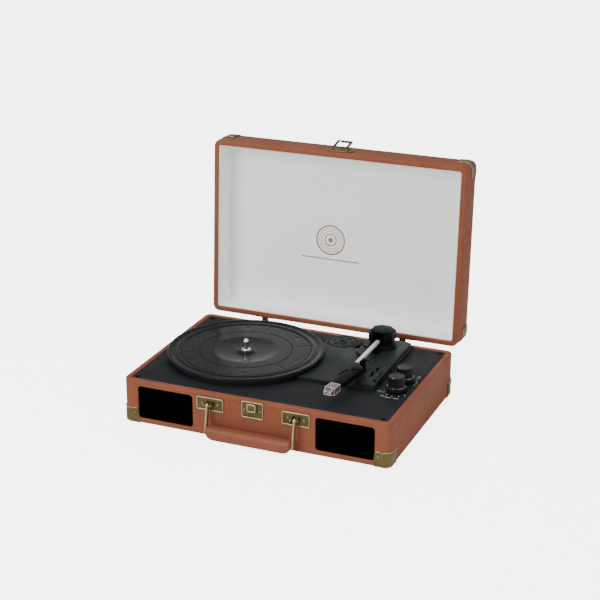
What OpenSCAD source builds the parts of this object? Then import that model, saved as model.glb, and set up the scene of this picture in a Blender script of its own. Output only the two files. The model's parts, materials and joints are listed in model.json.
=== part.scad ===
// Suitcase record player, lid open, as it stands on a table.
// Drawn with the base centred on X and Y and its rubber feet on z = 0, then shifted by placed() so that
// the origin is under the middle of the whole object. The lid is drawn closed and turned open.

/* [Case] */
// Width of the case
case_w = 355; // [355:1:380]
// Depth of the case, front to back
case_d = 242; // [242:1:260]
// Height of the base without its feet
base_h = 57.5; // [56:0.5:64]
// Height of the closed lid
lid_h = 42; // [41:0.5:50]
// Wall thickness of the base at its rim
base_wall = 7.3; // [6.5:0.1:8]
// Wall thickness of the lid at its rim
lid_wall = 8.25; // [7.5:0.05:9]
// Radius of the upright corners
corner_r = 9; // [8:1:12]
// Thickness of the leathercloth wrap
wrap_t = 0.8; // [0.6:0.1:1]
// Height of the rubber feet
foot_h = 4; // [3:0.5:6]

/* [Lid hinge] */
// Distance of the hinge pins behind the case
hinge_back = 7.4; // [7:0.1:9]
// Distance of the hinge pins below the rim
hinge_drop = 8.5; // [8:0.1:9]
// Opening angle of the lid
lid_open = 93.5; // [90:0.5:100]
// Distance of each hinge from the middle
hinge_x = 100; // [90:1:120]

/* [Turntable] */
// Place of the spindle
spindle_at = [-66, 5]; // [-200:1:200]
// Radius of the platter
platter_r = 101.5; // [100:0.5:101.5]
// Height of the platter's rolled rim above the case rim
platter_rise = 9.5; // [9:0.5:10]
// Radius of the spindle
spindle_r = 3.55; // [3.5:0.01:3.6]
// Radius of the belt ring under the platter
belt_ring_r = 52; // [50:1:54]
// Radius of the motor pulley
pulley_r = 5; // [4:0.5:5]

/* [Tonearm] */
// Place of the tonearm's upright pivot
pivot_at = [91, 88]; // [-200:1:200]
// Height of the arm tube above the rim
arm_rise = 18.5; // [18:0.5:19]
// Angle of the headshell towards the platter
head_angle = 8; // [4:1:20]

/* [Hidden] */
$fn = 64;

rim = foot_h + base_h;          // height of the base's rim
front = -case_d / 2;            // the front face
rear = case_d / 2;              // the rear face
half_w = case_w / 2;
lid_gap = 0.4;                  // gap between the two rims with the lid closed
lid_low = rim + lid_gap;
lid_high = rim + lid_h;
lid_board = 4;                  // lid's top board with its wrap
lining_t = 1;
floor_t = 5;
hinge_y = rear + hinge_back;
hinge_z = rim - hinge_drop;
mid_y = 26;                     // the whole object's middle, measured from the base's middle
plate_t = 1.2;                  // sheet brass
screw_r = 1.2;
deck_top = rim - 1;
deck_t = 3;
deck_low = deck_top - deck_t;
chassis_t = 4;
chassis_top = deck_top + chassis_t;
arm_base_top = chassis_top + 3.5;
well_r = 70;
well_floor = rim - 16;
well_t = 2;
platter_top = rim + platter_rise;
pulley_gap = 60;                // pulley's distance from the spindle
pulley_angle = -125;
pulley_at = spindle_at + pulley_gap * [cos(pulley_angle), sin(pulley_angle)];
belt_t = 0.8;
belt_low = rim - 9;
belt_h = 4;
run = 0.05;                     // radial clearance of a running fit
arm_z = rim + arm_rise;
knob_x = 150.5;
function_y = -26;
volume_y = 5.5;
speaker_x = 119.5;
speaker_z = foot_h + 28;
speaker_w = 77;
speaker_h = 44.4;
bracket_x = 57;
bracket_z = foot_h + 43;
strap_x = 57.8;                 // the handle's straps run down outside the grip's ends
strap_t = 2.6;
grip_len = 2 * strap_x - strap_t;
grip_y = front - 12.5;
grip_z = foot_h + 11;
handle_y = front - 6;           // handle's pivot
catch_z = foot_h + 44.8;
tab_z = rim - 8.75;
hasp_y = front - 3.2;           // hasp's pivot, lid closed
hasp_z = rim + 7;
hasp_fold = 165;                // hasp's turn from closed to folded back
panel_z = foot_h + 28;
adapter_at = [36, 88];
rest_at = [91, 0];
lifter_at = [91, 62];
lifter_r = pivot_at[1] - lifter_at[1];
lifter_rise = 3.4;               // how far the lever raises the lifter
cue_x = 120.5;
cue_y = 3;
speed_at = [111, -4];
autostop_at = [112, 14];
screw_at = [163.5, 108];
head_at = [98.5, -22];          // rear end of the headshell's plate

// ---- helpers ----

module placed() translate([0, -mid_y, 0]) children();

// rectangle with true round corners, centred
module round_rect(w, d, r) {
    square([w, d - 2 * r], center = true);
    square([w - 2 * r, d], center = true);
    for (x = [-1, 1], y = [-1, 1]) translate([x * (w / 2 - r), y * (d / 2 - r)]) circle(r);
}

// upright block with the case's outline, grown by `grow` on every side
module case_block(grow, low, high) translate([0, 0, low]) linear_extrude(high - low)
    round_rect(case_w + 2 * grow, case_d + 2 * grow, corner_r + grow);

// upright block that fills the mouth of a wall of thickness t
module mouth_block(t, low, high) translate([0, 0, low]) linear_extrude(high - low)
    round_rect(case_w - 2 * t, case_d - 2 * t, 3);

module at_hinge() translate([0, hinge_y, hinge_z]) children();

// turns what is drawn on the closed lid to the open pose
module opened() at_hinge() rotate([-lid_open, 0, 0]) translate([0, -hinge_y, -hinge_z]) children();

module along_x(length) rotate([0, 90, 0]) translate([0, 0, -length / 2]) children();

module rod_x(r, length) along_x(length) cylinder(r = r, h = length);

module rod_y(r, length) rotate([90, 0, 0]) translate([0, 0, -length / 2]) cylinder(r = r, h = length);

// plate standing in the XZ plane, its back on y = 0, facing -Y
module front_plate(w, h, r, t) rotate([90, 0, 0]) linear_extrude(t) round_rect(w, h, r);

// countersunk screw facing -Y, its head's back on y = 0
module front_screw(length = 8) rotate([90, 0, 0]) {
    translate([0, 0, -length]) cylinder(r = screw_r, h = length);
    difference() {
        cylinder(r = 2.1, h = 1.1);
        translate([-2.5, -0.3, 0.7]) cube([5, 0.6, 1]);
    }
}

module front_hole(r = screw_r, length = 12) rotate([-90, 0, 0]) cylinder(r = r, h = length);

bracket_screws = [for (s = [-1, 1], x = [-10.3, 10.3]) [s * bracket_x + x, bracket_z]];
catch_screws = [for (x = [-10.5, 10.5]) [x, catch_z - 1]];
hasp_screws = [for (x = [-12.5, 12.5]) [x, hasp_z + 9.5]];
leaf_screws = [for (s = [-1, 1], x = [-10, 10]) [s * hinge_x + x, hinge_z - 13]];
lid_leaf_screws = [for (s = [-1, 1], x = [-10, 10]) [s * hinge_x + x, rim + 16]];
panel_screws = [for (x = [-41, 41]) [x, panel_z]];

// ---- case of the base ----

module speaker_mouths(grow) for (s = [-1, 1]) translate([s * speaker_x, front + 20, speaker_z])
    front_plate(speaker_w + 2 * grow, speaker_h + 2 * grow, 5, 30);

module panel_mouth() translate([0, rear + 10, panel_z]) front_plate(76, 20, 2, 30);

module base_holes() {
    for (p = concat(bracket_screws, catch_screws)) translate([p[0], front - 1, p[1]]) front_hole();
    for (p = concat(leaf_screws, panel_screws)) translate([p[0], rear - 8, p[1]]) front_hole();
    for (s = [-1, 1], y = [-1, 1]) corner_nail_shape(s, y, foot_h, 1, 0);
}

module base_carcass() color("tan") difference() {
    case_block(-wrap_t, foot_h, rim - wrap_t);
    mouth_block(base_wall, foot_h + floor_t, rim + 1);
    mouth_block(base_wall - wrap_t, rim - 8, rim + 1);
    speaker_mouths(0);
    panel_mouth();
    base_holes();
}

module base_wrap() color("sienna") difference() {
    case_block(0, foot_h, rim);
    difference() {
        case_block(-wrap_t, foot_h - 1, rim - wrap_t);
        translate([0, 0, rim - 8]) linear_extrude(10) round_rect(case_w - 2 * base_wall + 2 * wrap_t,
            case_d - 2 * base_wall + 2 * wrap_t, 3);
    }
    mouth_block(base_wall, foot_h, rim + 1);
    speaker_mouths(0);
    panel_mouth();
    base_holes();
}

module feet() color("dimgray") for (x = [-145, 145], y = [-92, 92]) translate([x, y, 0])
    cylinder(r = 8, h = foot_h);

// corner guard: the case's outline grown by the brass, kept near one corner
module corner_guard(sx, sy, low, up) {
    size = 20;
    deep = up > 0 ? low - 0.9 : low - size;
    intersection() {
        difference() {
            case_block(0.9, low - (up > 0 ? 0.9 : size), low + (up > 0 ? size : 0.9));
            case_block(0, low - (up > 0 ? 0 : size + 1), low + (up > 0 ? size + 1 : 0));
        }
        translate([sx * half_w, sy * rear, deep]) difference() {
            translate([-size, -size, 0]) cube([2 * size, 2 * size, size + 0.9]);
            for (a = [0 : 90 : 270]) rotate(a) translate([size, size, up > 0 ? size + 0.9 : 0])
                sphere(r = 7);
        }
    }
}

// round-headed nail through a guard's side face, pointing in from the side of the case
module corner_nail_shape(sx, sy, low, up, head) translate([sx * half_w, sy * (rear - 13), low + up * 9])
    rotate([0, sx * 90, 0]) {
        translate([0, 0, -5]) cylinder(r = 0.8, h = 6.5);
        if (head > 0) translate([0, 0, 0.9]) cylinder(r = 1.6, h = head);
    }

module base_corner_guards() color("darkkhaki") difference() {
    for (sx = [-1, 1], sy = [-1, 1]) corner_guard(sx, sy, foot_h, 1);
    for (sx = [-1, 1], sy = [-1, 1]) corner_nail_shape(sx, sy, foot_h, 1, 0);
}

module base_corner_nails() color("khaki") for (sx = [-1, 1], sy = [-1, 1])
    corner_nail_shape(sx, sy, foot_h, 1, 0.9);

// ---- deck and turntable ----

module chassis_outline() {
    translate(spindle_at) circle(96);
    translate([-10, -38]) square([136, 113]);
    translate([66, 70]) square([60, 42.3]);
    translate(adapter_at) circle(23);
}

module deck_plate() color([0.14, 0.15, 0.16]) difference() {
    translate([0, 0, deck_low]) linear_extrude(deck_t) difference() {
        round_rect(case_w - 2 * base_wall - 0.4, case_d - 2 * base_wall - 0.4, 3);
        translate(spindle_at) circle(well_r + well_t + 0.2);
        translate(pivot_at) circle(8);
        translate(lifter_at) circle(4);
        for (y = [function_y, volume_y]) translate([knob_x, y]) circle(3.6);
        for (x = [-1, 1], y = [-1, 1]) translate([x * screw_at[0], y * screw_at[1]]) circle(screw_r);
    }
}

module deck_screws() color("silver") for (x = [-1, 1], y = [-1, 1])
    translate([x * screw_at[0], y * screw_at[1], 0]) {
        translate([0, 0, deck_low - 5]) cylinder(r = screw_r, h = deck_t + 5);
        translate([0, 0, deck_top]) difference() {
            cylinder(r = 3, h = 1);
            for (a = [0, 90]) rotate(a) translate([-2, -0.35, 0.5]) cube([4, 0.7, 1]);
        }
    }

module mech_chassis() color([0.17, 0.18, 0.19]) difference() {
    union() {
        translate([0, 0, deck_top]) linear_extrude(chassis_t) chassis_outline();
        translate([spindle_at[0], spindle_at[1], well_floor - well_t])
            cylinder(r = well_r + well_t, h = deck_top + 1 - well_floor + well_t);
    }
    difference() {
        translate([spindle_at[0], spindle_at[1], well_floor]) cylinder(r = well_r, h = 60);
        translate([spindle_at[0], spindle_at[1], well_floor]) cylinder(r = 8, h = 6);
    }
    translate([spindle_at[0], spindle_at[1], 0]) cylinder(r = spindle_r, h = rim);
    translate([pulley_at[0], pulley_at[1], 0]) cylinder(r = 4, h = rim);
    translate([pivot_at[0], pivot_at[1], 0]) cylinder(r = 8, h = 2 * rim);
    translate([lifter_at[0], lifter_at[1], 0]) cylinder(r = 4, h = 2 * rim);
    translate([adapter_at[0], adapter_at[1], chassis_top - 3]) difference() {
        cylinder(r = 20, h = 9);
        cylinder(r = 3.5, h = 3);
    }
}

module spindle() color("silver") translate([spindle_at[0], spindle_at[1], 0]) {
    translate([0, 0, well_floor - well_t]) cylinder(r = spindle_r, h = rim + 21 - well_floor + well_t);
    translate([0, 0, rim + 21]) intersection() {
        translate([0, 0, -1.4]) sphere(r = 3.8);
        cylinder(r = spindle_r, h = 3);
    }
    translate([0, 0, platter_top - 1.6]) cylinder(r = 6, h = 0.8);
}

// platter's section from the spindle outwards: boss, dish, groove, record ring, rolled rim, skirt
module platter_section() {
    top = platter_top - 1.5;
    difference() {
        union() {
            polygon([[3.6, top - 17], [10, top - 17], [10, top - 5], [18, top - 5.4], [30, top - 4.6],
                [42, top - 2.6], [96, top - 2.6], [98.5, top - 4], [platter_r - 3, platter_top - 5.5],
                [platter_r, platter_top - 5.5], [platter_r, platter_top - 1.6], [platter_r - 0.6,
                platter_top - 0.5], [platter_r - 1.8, platter_top], [platter_r - 4, platter_top],
                [platter_r - 5.5, top + 0.3], [88, top + 0.3], [86.5, top], [42, top], [38, top - 0.8],
                [30, top - 2.1], [18, top - 2.9], [11, top - 2.7], [10, top - 0.4], [3.6, top - 0.4]]);
            translate([belt_ring_r - 2, belt_low - 2]) square([2, top - 2 - belt_low + 2]);
        }
        for (r = [60, 84]) translate([r, top - 0.7]) square([1.2, 1]);
        translate([0, 0]) square([3.6 + 2.4, rim * 2]);
    }
}

module platter() color([0.12, 0.12, 0.13]) translate([spindle_at[0], spindle_at[1], 0])
    difference() {
        rotate_extrude($fn = 180) platter_section();
        for (a = [15 : 45 : 330]) rotate(a) translate([66, -0.5, platter_top - 2.1]) cube([14, 1, 2]);
    }

module platter_bush() color("goldenrod") translate([spindle_at[0], spindle_at[1], platter_top - 18.4])
    difference() {
        cylinder(r = 6, h = 16.4);
        translate([0, 0, -1]) cylinder(r = spindle_r + run, h = 20);
    }

module motor() color("silver") translate([pulley_at[0], pulley_at[1], 0]) {
    translate([0, 0, well_floor - well_t - 22]) cylinder(r = 12, h = 22);
    translate([0, 0, well_floor - well_t]) cylinder(r = 3, h = 1.5);
    translate([0, 0, well_floor - well_t]) cylinder(r = 1, h = belt_low + belt_h + 2 - well_floor + well_t);
}

module motor_pulley() color("goldenrod") translate([pulley_at[0], pulley_at[1], belt_low - 1.5])
    difference() {
        union() {
            cylinder(r = pulley_r + 1, h = 1);
            cylinder(r = pulley_r, h = belt_h + 3);
            translate([0, 0, belt_h + 2]) cylinder(r = pulley_r + 1, h = 1);
        }
        translate([0, 0, -1]) cylinder(r = 1 + run, h = belt_h + 6);
    }

// area inside a belt round two circles; the tangents touch at the same angle on both
module belt_area(r1, r2) {
    tilt = acos((r1 - r2) / pulley_gap);
    circle(r1, $fn = 120);
    translate([pulley_gap, 0]) circle(r2);
    polygon([[r1 * cos(tilt), r1 * sin(tilt)], [r1 * cos(tilt), -r1 * sin(tilt)],
        [pulley_gap + r2 * cos(tilt), -r2 * sin(tilt)], [pulley_gap + r2 * cos(tilt), r2 * sin(tilt)]]);
}

module drive_belt() color("black") translate([spindle_at[0], spindle_at[1], belt_low])
    rotate(pulley_angle) linear_extrude(belt_h) difference() {
        belt_area(belt_ring_r + 0.3 + belt_t, pulley_r + 0.3 + belt_t);
        belt_area(belt_ring_r + 0.3, pulley_r + 0.3);
    }

module adapter_45() color([0.2, 0.21, 0.22]) translate([adapter_at[0], adapter_at[1], chassis_top - 2.9])
    difference() {
        union() {
            cylinder(r = 19.05, h = 2.6);
            translate([0, 0, 2.6]) cylinder(r1 = 19.05, r2 = 17.5, h = 0.7);
            translate([0, 0, 3.3]) cylinder(r = 7, h = 0.8);
        }
        translate([0, 0, -1]) cylinder(r = 3.6, h = 8);
        for (a = [0 : 60 : 300]) rotate(a) translate([12.5, 0, 2.4]) cylinder(r = 2.4, h = 2);
    }

// ---- inside the base ----

module amp_board() color("darkgreen") translate([60, -40, foot_h + floor_t]) {
    for (x = [4, 86], y = [4, 51]) translate([x, y, 0]) cylinder(r = 2.5, h = 6);
    translate([0, 0, 6]) cube([90, 55, 1.6]);
    translate([12, 30, 7.6]) cube([24, 6, 14]);
    for (x = [45 : 12 : 69]) translate([x, 38, 7.6]) cylinder(r = 4, h = 11);
    for (x = [14 : 16 : 62]) translate([x, 12, 7.6]) cube([9, 6, 2.5]);
}

module pot_body() {
    difference() {
        union() {
            translate([0, 0, deck_low - 10]) cylinder(r = 8.5, h = 9.8);
            translate([0, 0, deck_low - 1]) cylinder(r = 3.5, h = deck_t + 2);
        }
        translate([0, 0, deck_low - 8]) cylinder(r = 3 + run, h = 30);
    }
}

module function_switch() color("gray") translate([knob_x, function_y, 0]) pot_body();

module volume_pot() color("gray") translate([knob_x, volume_y, 0]) pot_body();

// loudspeaker behind the front wall: flange, basket and magnet
module speaker_body() translate([0, 0, speaker_z]) {
    difference() {
        translate([0, front + base_wall + 3, 0]) front_plate(80, 44, 3, 2.5);
        translate([0, front, 0]) rotate([-90, 0, 0]) cylinder(r = 20, h = 30);
    }
    translate([0, front + base_wall + 3, 0]) rotate([-90, 0, 0]) {
        difference() {
            cylinder(r = 21.5, h = 14);
            translate([0, 0, -1]) cylinder(r = 20, h = 14);
        }
        translate([0, 0, 14]) cylinder(r = 15, h = 10);
    }
}

module speaker_left() color("dimgray") translate([-speaker_x, 0, 0]) speaker_body();

module speaker_right() color("dimgray") translate([speaker_x, 0, 0]) speaker_body();

module speaker_cones() color("black") for (s = [-1, 1])
    translate([s * speaker_x, front + base_wall + 3, speaker_z]) rotate([-90, 0, 0])
        rotate_extrude() polygon([[0, 6], [5, 7.5], [18, 1.5], [19.8, 1.5], [19.8, 2.1], [18.2, 2.1],
            [5, 8.3], [0, 6.8]]);

module grille(s) translate([s * speaker_x, front + 3, speaker_z]) {
    front_plate(speaker_w - 0.2, speaker_h - 0.2, 4.9, 1.2);
}

module grille_left() color("black") grille(-1);

module grille_right() color("black") grille(1);

// ---- brass on the front ----

module handle_brackets() color("darkkhaki") for (s = [-1, 1]) translate([s * bracket_x, front, bracket_z])
    difference() {
        union() {
            front_plate(36.5, 17.5, 2, plate_t);
            for (x = [-4.4, 2.6]) translate([x, -plate_t, -4]) mirror([0, 1, 0]) cube([1.8, 5, 8]);
            for (x = [-3.5, 3.5]) translate([x, handle_y - front, 0]) rod_x(4, 1.8);
        }
        translate([0, handle_y - front, 0]) rod_x(1.5, 20);
        for (x = [-10.3, 10.3]) translate([x, -3, 0]) front_hole();
    }

module handle_pins() color("khaki") for (s = [-1, 1]) translate([s * bracket_x, handle_y, bracket_z]) {
    rod_x(1.5, 9.4);
    for (x = [-5, 5]) translate([x, 0, 0]) rod_x(2.2, 1.2);
}

module front_screws() color("khaki") for (p = concat(bracket_screws, catch_screws))
    translate([p[0], front - plate_t, p[1]]) front_screw(6);

module catch_plate() color("darkkhaki") translate([0, front, catch_z]) difference() {
    union() {
        front_plate(29, 22, 2, plate_t);
        translate([0, -plate_t, tab_z - catch_z]) front_plate(12, 10.5, 1.5, 3.8);
    }
    for (x = [-10.5, 10.5]) translate([x, -3, -1]) front_hole();
}

// flat brass straps on the pins, and the rod through the grip
module handle_frame_shape(r) {
    drop = norm([handle_y - grip_y, bracket_z - grip_z]);
    lean = atan2(handle_y - grip_y, bracket_z - grip_z);
    for (s = [-1, 1]) translate([s * strap_x, handle_y, bracket_z]) difference() {
        union() {
            rod_x(3.4, strap_t);
            rotate([-lean, 0, 0]) {
                translate([-strap_t / 2, -3, -drop]) cube([strap_t, 6, drop]);
                translate([0, 0, -drop]) rod_x(3, strap_t);
            }
        }
        rod_x(r, 10);
    }
    translate([0, grip_y, grip_z]) rod_x(2, 2 * strap_x);
}

module handle_frame() color("darkkhaki") handle_frame_shape(1.5 + run);

module handle_grip() color("sienna") difference() {
    translate([0, grip_y, grip_z]) along_x(grip_len) linear_extrude(grip_len) round_rect(17, 17, 6);
    translate([0, grip_y, grip_z]) rod_x(2, grip_len + 2);
}

// ---- rear of the base ----

module jack_panel() color([0.1, 0.1, 0.11]) translate([0, rear + 1.5, panel_z]) difference() {
    front_plate(90, 30, 2, 1.5);
    for (x = [-41, 41]) translate([x, -3, 0]) front_hole();
    translate([-28, -3, 0]) front_hole(6);
    for (x = [-8, 8]) translate([x, -3, 0]) front_hole(4.15);
    translate([28, -3, 0]) front_hole(4);
}

module dc_jack() color("black") translate([-28, rear + 2, panel_z]) rotate([90, 0, 0]) {
    difference() {
        union() {
            translate([0, 0, 0.5]) cylinder(r = 6, h = 12);
            translate([-7, -7, 2.2]) cube([14, 14, 12]);
        }
        translate([0, 0, -1]) cylinder(r = 2.75, h = 10);
    }
    translate([0, 0, 1]) cylinder(r = 1, h = 8.5);
}

module rca_jacks() color("silver") for (x = [-8, 8]) translate([x, rear + 9.5, panel_z])
    rotate([90, 0, 0]) {
        difference() {
            cylinder(r = 4.15, h = 14);
            translate([0, 0, -1]) cylinder(r = 1.6, h = 9);
        }
        translate([0, 0, 9.6]) cylinder(r = 6, h = 3);
    }

module phones_jack() color("dimgray") translate([28, rear + 3, panel_z]) rotate([90, 0, 0])
    difference() {
        union() {
            cylinder(r = 4, h = 5);
            translate([-5, -5, 3.2]) cube([10, 10, 14]);
        }
        translate([0, 0, -1]) cylinder(r = 1.8, h = 15);
    }

module rear_screw(p, out) translate([p[0], rear + out, p[1]]) rotate(180) front_screw(6);

module rear_screws() color("khaki") {
    for (p = leaf_screws) rear_screw(p, plate_t);
    for (p = panel_screws) rear_screw(p, 1.5);
}

module base_hinge_leaves() color("darkkhaki") difference() {
    for (s = [-1, 1]) translate([s * hinge_x, 0, 0]) {
        translate([0, rear + plate_t, hinge_z - 11]) front_plate(30, 24, 2, plate_t);
        for (x = [-10, 10]) translate([x, 0, 0]) {
            translate([-5, rear, hinge_z - 1]) cube([10, hinge_back, 2]);
            translate([0, hinge_y, hinge_z]) rod_x(2.6, 10);
        }
    }
    at_hinge() rod_x(1.3, 3 * hinge_x);
    for (p = leaf_screws) translate([p[0], rear - 2, p[1]]) front_hole();
}

module hinge_pins() color("khaki") for (s = [-1, 1]) translate([s * hinge_x, hinge_y, hinge_z])
    rod_x(1.3, 30.6);

// ---- tonearm ----

module tonearm_base() color([0.13, 0.13, 0.14]) difference() {
    union() {
        translate([0, 0, chassis_top]) linear_extrude(arm_base_top - chassis_top) polygon([[82, 20],
            [107, -38], [126, -38], [124, 108], [118, 112.3], [66, 112.3], [66, 58], [82, 44]]);
        translate([0, 0, arm_base_top]) linear_extrude(1) polygon([[124, -38], [126, -38], [124, 108],
            [122.2, 108]]);
    }
    translate([pivot_at[0], pivot_at[1], 0]) cylinder(r = 8, h = 2 * rim);
    translate([lifter_at[0], lifter_at[1], 0]) cylinder(r = 3 + run, h = 2 * rim);
    translate([rest_at[0] - 5, rest_at[1] - 3, chassis_top]) cube([13.7, 6, 9]);
    translate([speed_at[0] - 1.5, speed_at[1] - 7, chassis_top]) cube([3, 14, 9]);
    translate([autostop_at[0] - 1.5, autostop_at[1] - 5.5, chassis_top]) cube([3, 11, 9]);
    translate([cue_x - 1.5, cue_y - 28, arm_base_top - 2.6]) cube([3, 32, 9]);
    translate([cue_x, cue_y, arm_base_top - 1]) rod_x(0.8, 6);
}

module tonearm_column() color([0.12, 0.12, 0.13]) translate([pivot_at[0], pivot_at[1], arm_base_top])
    difference() {
        union() {
            cylinder(r = 19.5, h = 1.2);
            translate([0, 0, 1.2]) cylinder(r1 = 19, r2 = 17.5, h = 3);
        }
        translate([0, 0, -1]) cylinder(r = 4 + run, h = 9);
    }

// eight-sided hood that turns on the upright shaft and carries the arm's cross pin
module gimbal_hood() color([0.12, 0.12, 0.13]) translate([pivot_at[0], pivot_at[1], 0]) difference() {
    union() {
        translate([0, 0, arm_z - 2.5]) linear_extrude(11.1) hood_outline(0);
        translate([0, 0, arm_base_top + 4.5]) cylinder(r1 = 18.5, r2 = 13.5, h = arm_z - arm_base_top - 7);
        translate([0, 0, arm_z + 8.6]) linear_extrude(2.9) hood_outline(2.5);
        translate([0, 0, deck_low - 6]) cylinder(r = 4, h = arm_base_top + 5 - deck_low + 6);
    }
    translate([-7, -30, arm_base_top + 6]) cube([14, 41, arm_z + 9.9 - arm_base_top - 6]);
    translate([-7.6, -20, arm_z + 11]) cube([0.5, 40, 1]);
    translate([0, 0, arm_z]) rod_x(1.5 + run, 30);
}

module hood_outline(inset) {
    w = 16 - inset;
    c = 7;
    polygon([[-w, -w + c], [-w + c, -w], [w - c, -w], [w, -w + c], [w, w - c], [w - c, w], [-w + c, w],
        [-w, w - c]]);
}

module arm_block() color([0.1, 0.1, 0.11]) translate([pivot_at[0], pivot_at[1], arm_z]) difference() {
    union() {
        translate([-4.5, -18, -3]) cube([9, 21, 6]);
        rod_x(1.5, 27);
    }
    translate([-2.6, -19, -2.3]) cube([5.2, 7.1, 4.6]);
}

module arm_tube() color("silver") translate([pivot_at[0], 0, arm_z]) rotate([-90, 0, 0])
    translate([0, 0, rest_at[1] - 11]) linear_extrude(pivot_at[1] - rest_at[1] - 1) round_rect(5, 4.4, 1.2);

module at_head() translate([head_at[0], head_at[1], arm_z]) rotate(-head_angle) children();

module headshell() color([0.11, 0.11, 0.12]) difference() {
    union() {
        translate([0, 0, arm_z - 3.2]) linear_extrude(5.8) polygon([[pivot_at[0] - 3.6, -8.2],
            [pivot_at[0] + 3.6, -8.2], [pivot_at[0] + 5.5, -13], [104.8, -20.5], [104, -30], [92.5, -30],
            [pivot_at[0] - 3.4, -17]]);
        at_head() translate([-6.5, -55.5, -3.2]) cube([13, 57.5, 4.6]);
        at_head() for (x = [-6.5, 5.1]) translate([x, -44, -5.6]) cube([1.4, 44, 4]);
        at_head() translate([-13.5, -26, -1.8]) cube([1.5, 20, 1.7]);
        at_head() translate([-13.5, -8, -1.8]) cube([8, 2.6, 1.7]);
    }
    translate([pivot_at[0], 0, arm_z]) translate([-2.5, -11.2, -2.2]) cube([5, 8, 4.4]);
}

module cartridge() color("mistyrose") at_head() {
    translate([-5, -58, -6.6]) cube([10, 30, 3.3]);
    translate([-6.3, -76, -6.6]) cube([12.6, 20, 8.8]);
}

module stylus() color("crimson") at_head() translate([0, -66, -8.2]) {
    translate([-1, -4, 0.8]) cube([2, 8, 0.7]);
    cylinder(r1 = 0.2, r2 = 0.7, h = 0.8);
}

module arm_rest() color([0.12, 0.12, 0.13]) translate([rest_at[0], rest_at[1], 0]) {
    low = arm_base_top;
    translate([-5, -3, low - 3.5]) cube([10, 6, arm_z - 2.6 - low + 3.5]);
    translate([-6.5, -2, arm_z - 7]) cube([2, 4, 4.2]);
    translate([2.9, -3, arm_z - 2.6]) cube([1.8, 6, 4.9]);
    difference() {
        for (y = [-3, 1.6]) translate([4.7, y, chassis_top]) cube([4, 1.4, arm_z + 4.8 - chassis_top]);
        translate([6.7, 0, arm_z + 3.3]) rod_y(1 + run, 20);
    }
}

module arm_clip() color([0.1, 0.1, 0.11]) translate([rest_at[0] + 6.7, rest_at[1], arm_z + 3.3]) {
    rod_y(1, 6);
    translate([0, -1.3, -0.8]) cube([8.2, 2.6, 1.6]);
}

module cue_lifter() color("silver") translate([0, 0, -lifter_rise]) {
    translate([lifter_at[0], lifter_at[1], deck_low - 4]) cylinder(r = 3, h = arm_z - 4 - deck_low + 4);
    translate([lifter_at[0], lifter_at[1], arm_base_top + 3.7]) cylinder(r = 5.4, h = 5.7);
    translate([pivot_at[0], pivot_at[1], arm_z - 4.4]) linear_extrude(1.8) intersection() {
        difference() {
            circle(lifter_r + 2, $fn = 120);
            circle(lifter_r - 2, $fn = 120);
        }
        polygon([[0, 0], [5, -60], [-60, -60], [-60, -55]]);
    }
}

module cue_lever() color([0.12, 0.12, 0.13]) translate([cue_x, cue_y, arm_base_top - 1]) {
    rod_x(0.75, 5.6);
    translate([-1.2, -27, -1.2]) cube([2.4, 28, 2.6]);
    translate([-1.2, -27, 1]) cube([2.4, 4, 1.6]);
}

module speed_switch() color([0.1, 0.1, 0.11]) translate([speed_at[0], speed_at[1], chassis_top + 0.2]) {
    translate([-1.2, -2, 0]) cube([2.4, 4, 6.3]);
}

module autostop_switch() color([0.1, 0.1, 0.11])
    translate([autostop_at[0], autostop_at[1] - 2.5, chassis_top + 0.2]) {
        translate([-1.2, -2, 0]) cube([2.4, 4, 5.8]);
    }

// ---- knobs ----

module knob_shape() translate([0, 0, rim + 0.6]) {
    cylinder(r = 12.5, h = 5);
    translate([0, 0, 5]) cylinder(r = 10.9, h = 0.8);
    translate([0, 0, 5.8]) cylinder(r = 10.35, h = 12.6);
    translate([0, 0, 18.4]) cylinder(r1 = 10.35, r2 = 9.8, h = 0.6);
    translate([0, 0, deck_low - 7 - rim]) cylinder(r = 3, h = rim - deck_low + 8);
}

module function_knob() color([0.13, 0.13, 0.14]) translate([knob_x, function_y, 0]) knob_shape();

module volume_knob() color([0.13, 0.13, 0.14]) translate([knob_x, volume_y, 0]) knob_shape();

// ---- lid, drawn closed ----

module lid_holes() {
    for (p = hasp_screws) translate([p[0], front - 1, p[1]]) front_hole(screw_r, 8);
    for (p = lid_leaf_screws) translate([p[0], rear - 7, p[1]]) front_hole();
    for (sx = [-1, 1], sy = [-1, 1]) corner_nail_shape(sx, sy, lid_high, -1, 0);
}

module lid_carcass() color("tan") opened() difference() {
    case_block(-wrap_t, lid_low + wrap_t, lid_high - wrap_t);
    mouth_block(lid_wall - lining_t, lid_low - 1, lid_high - lid_board);
    lid_holes();
}

module lid_wrap() color("sienna") opened() difference() {
    case_block(0, lid_low, lid_high);
    case_block(-wrap_t, lid_low + wrap_t, lid_high - wrap_t);
    mouth_block(lid_wall - lining_t, lid_low - 1, lid_low + 5);
    lid_holes();
}

module lid_lining() color("mintcream") opened() difference() {
    mouth_block(lid_wall - lining_t, lid_low + 0.2, lid_high - lid_board);
    mouth_block(lid_wall, lid_low - 1, lid_high - lid_board - lining_t);
}

module lid_corner_guards() color("darkkhaki") opened() difference() {
    for (sx = [-1, 1], sy = [-1, 1]) corner_guard(sx, sy, lid_high, -1);
    for (sx = [-1, 1], sy = [-1, 1]) corner_nail_shape(sx, sy, lid_high, -1, 0);
}

module lid_fasteners() color("khaki") opened() {
    for (sx = [-1, 1], sy = [-1, 1]) corner_nail_shape(sx, sy, lid_high, -1, 0.9);
    for (p = hasp_screws) translate([p[0], front - plate_t, p[1]]) front_screw(5);
    for (p = lid_leaf_screws) rear_screw(p, plate_t);
}

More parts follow.
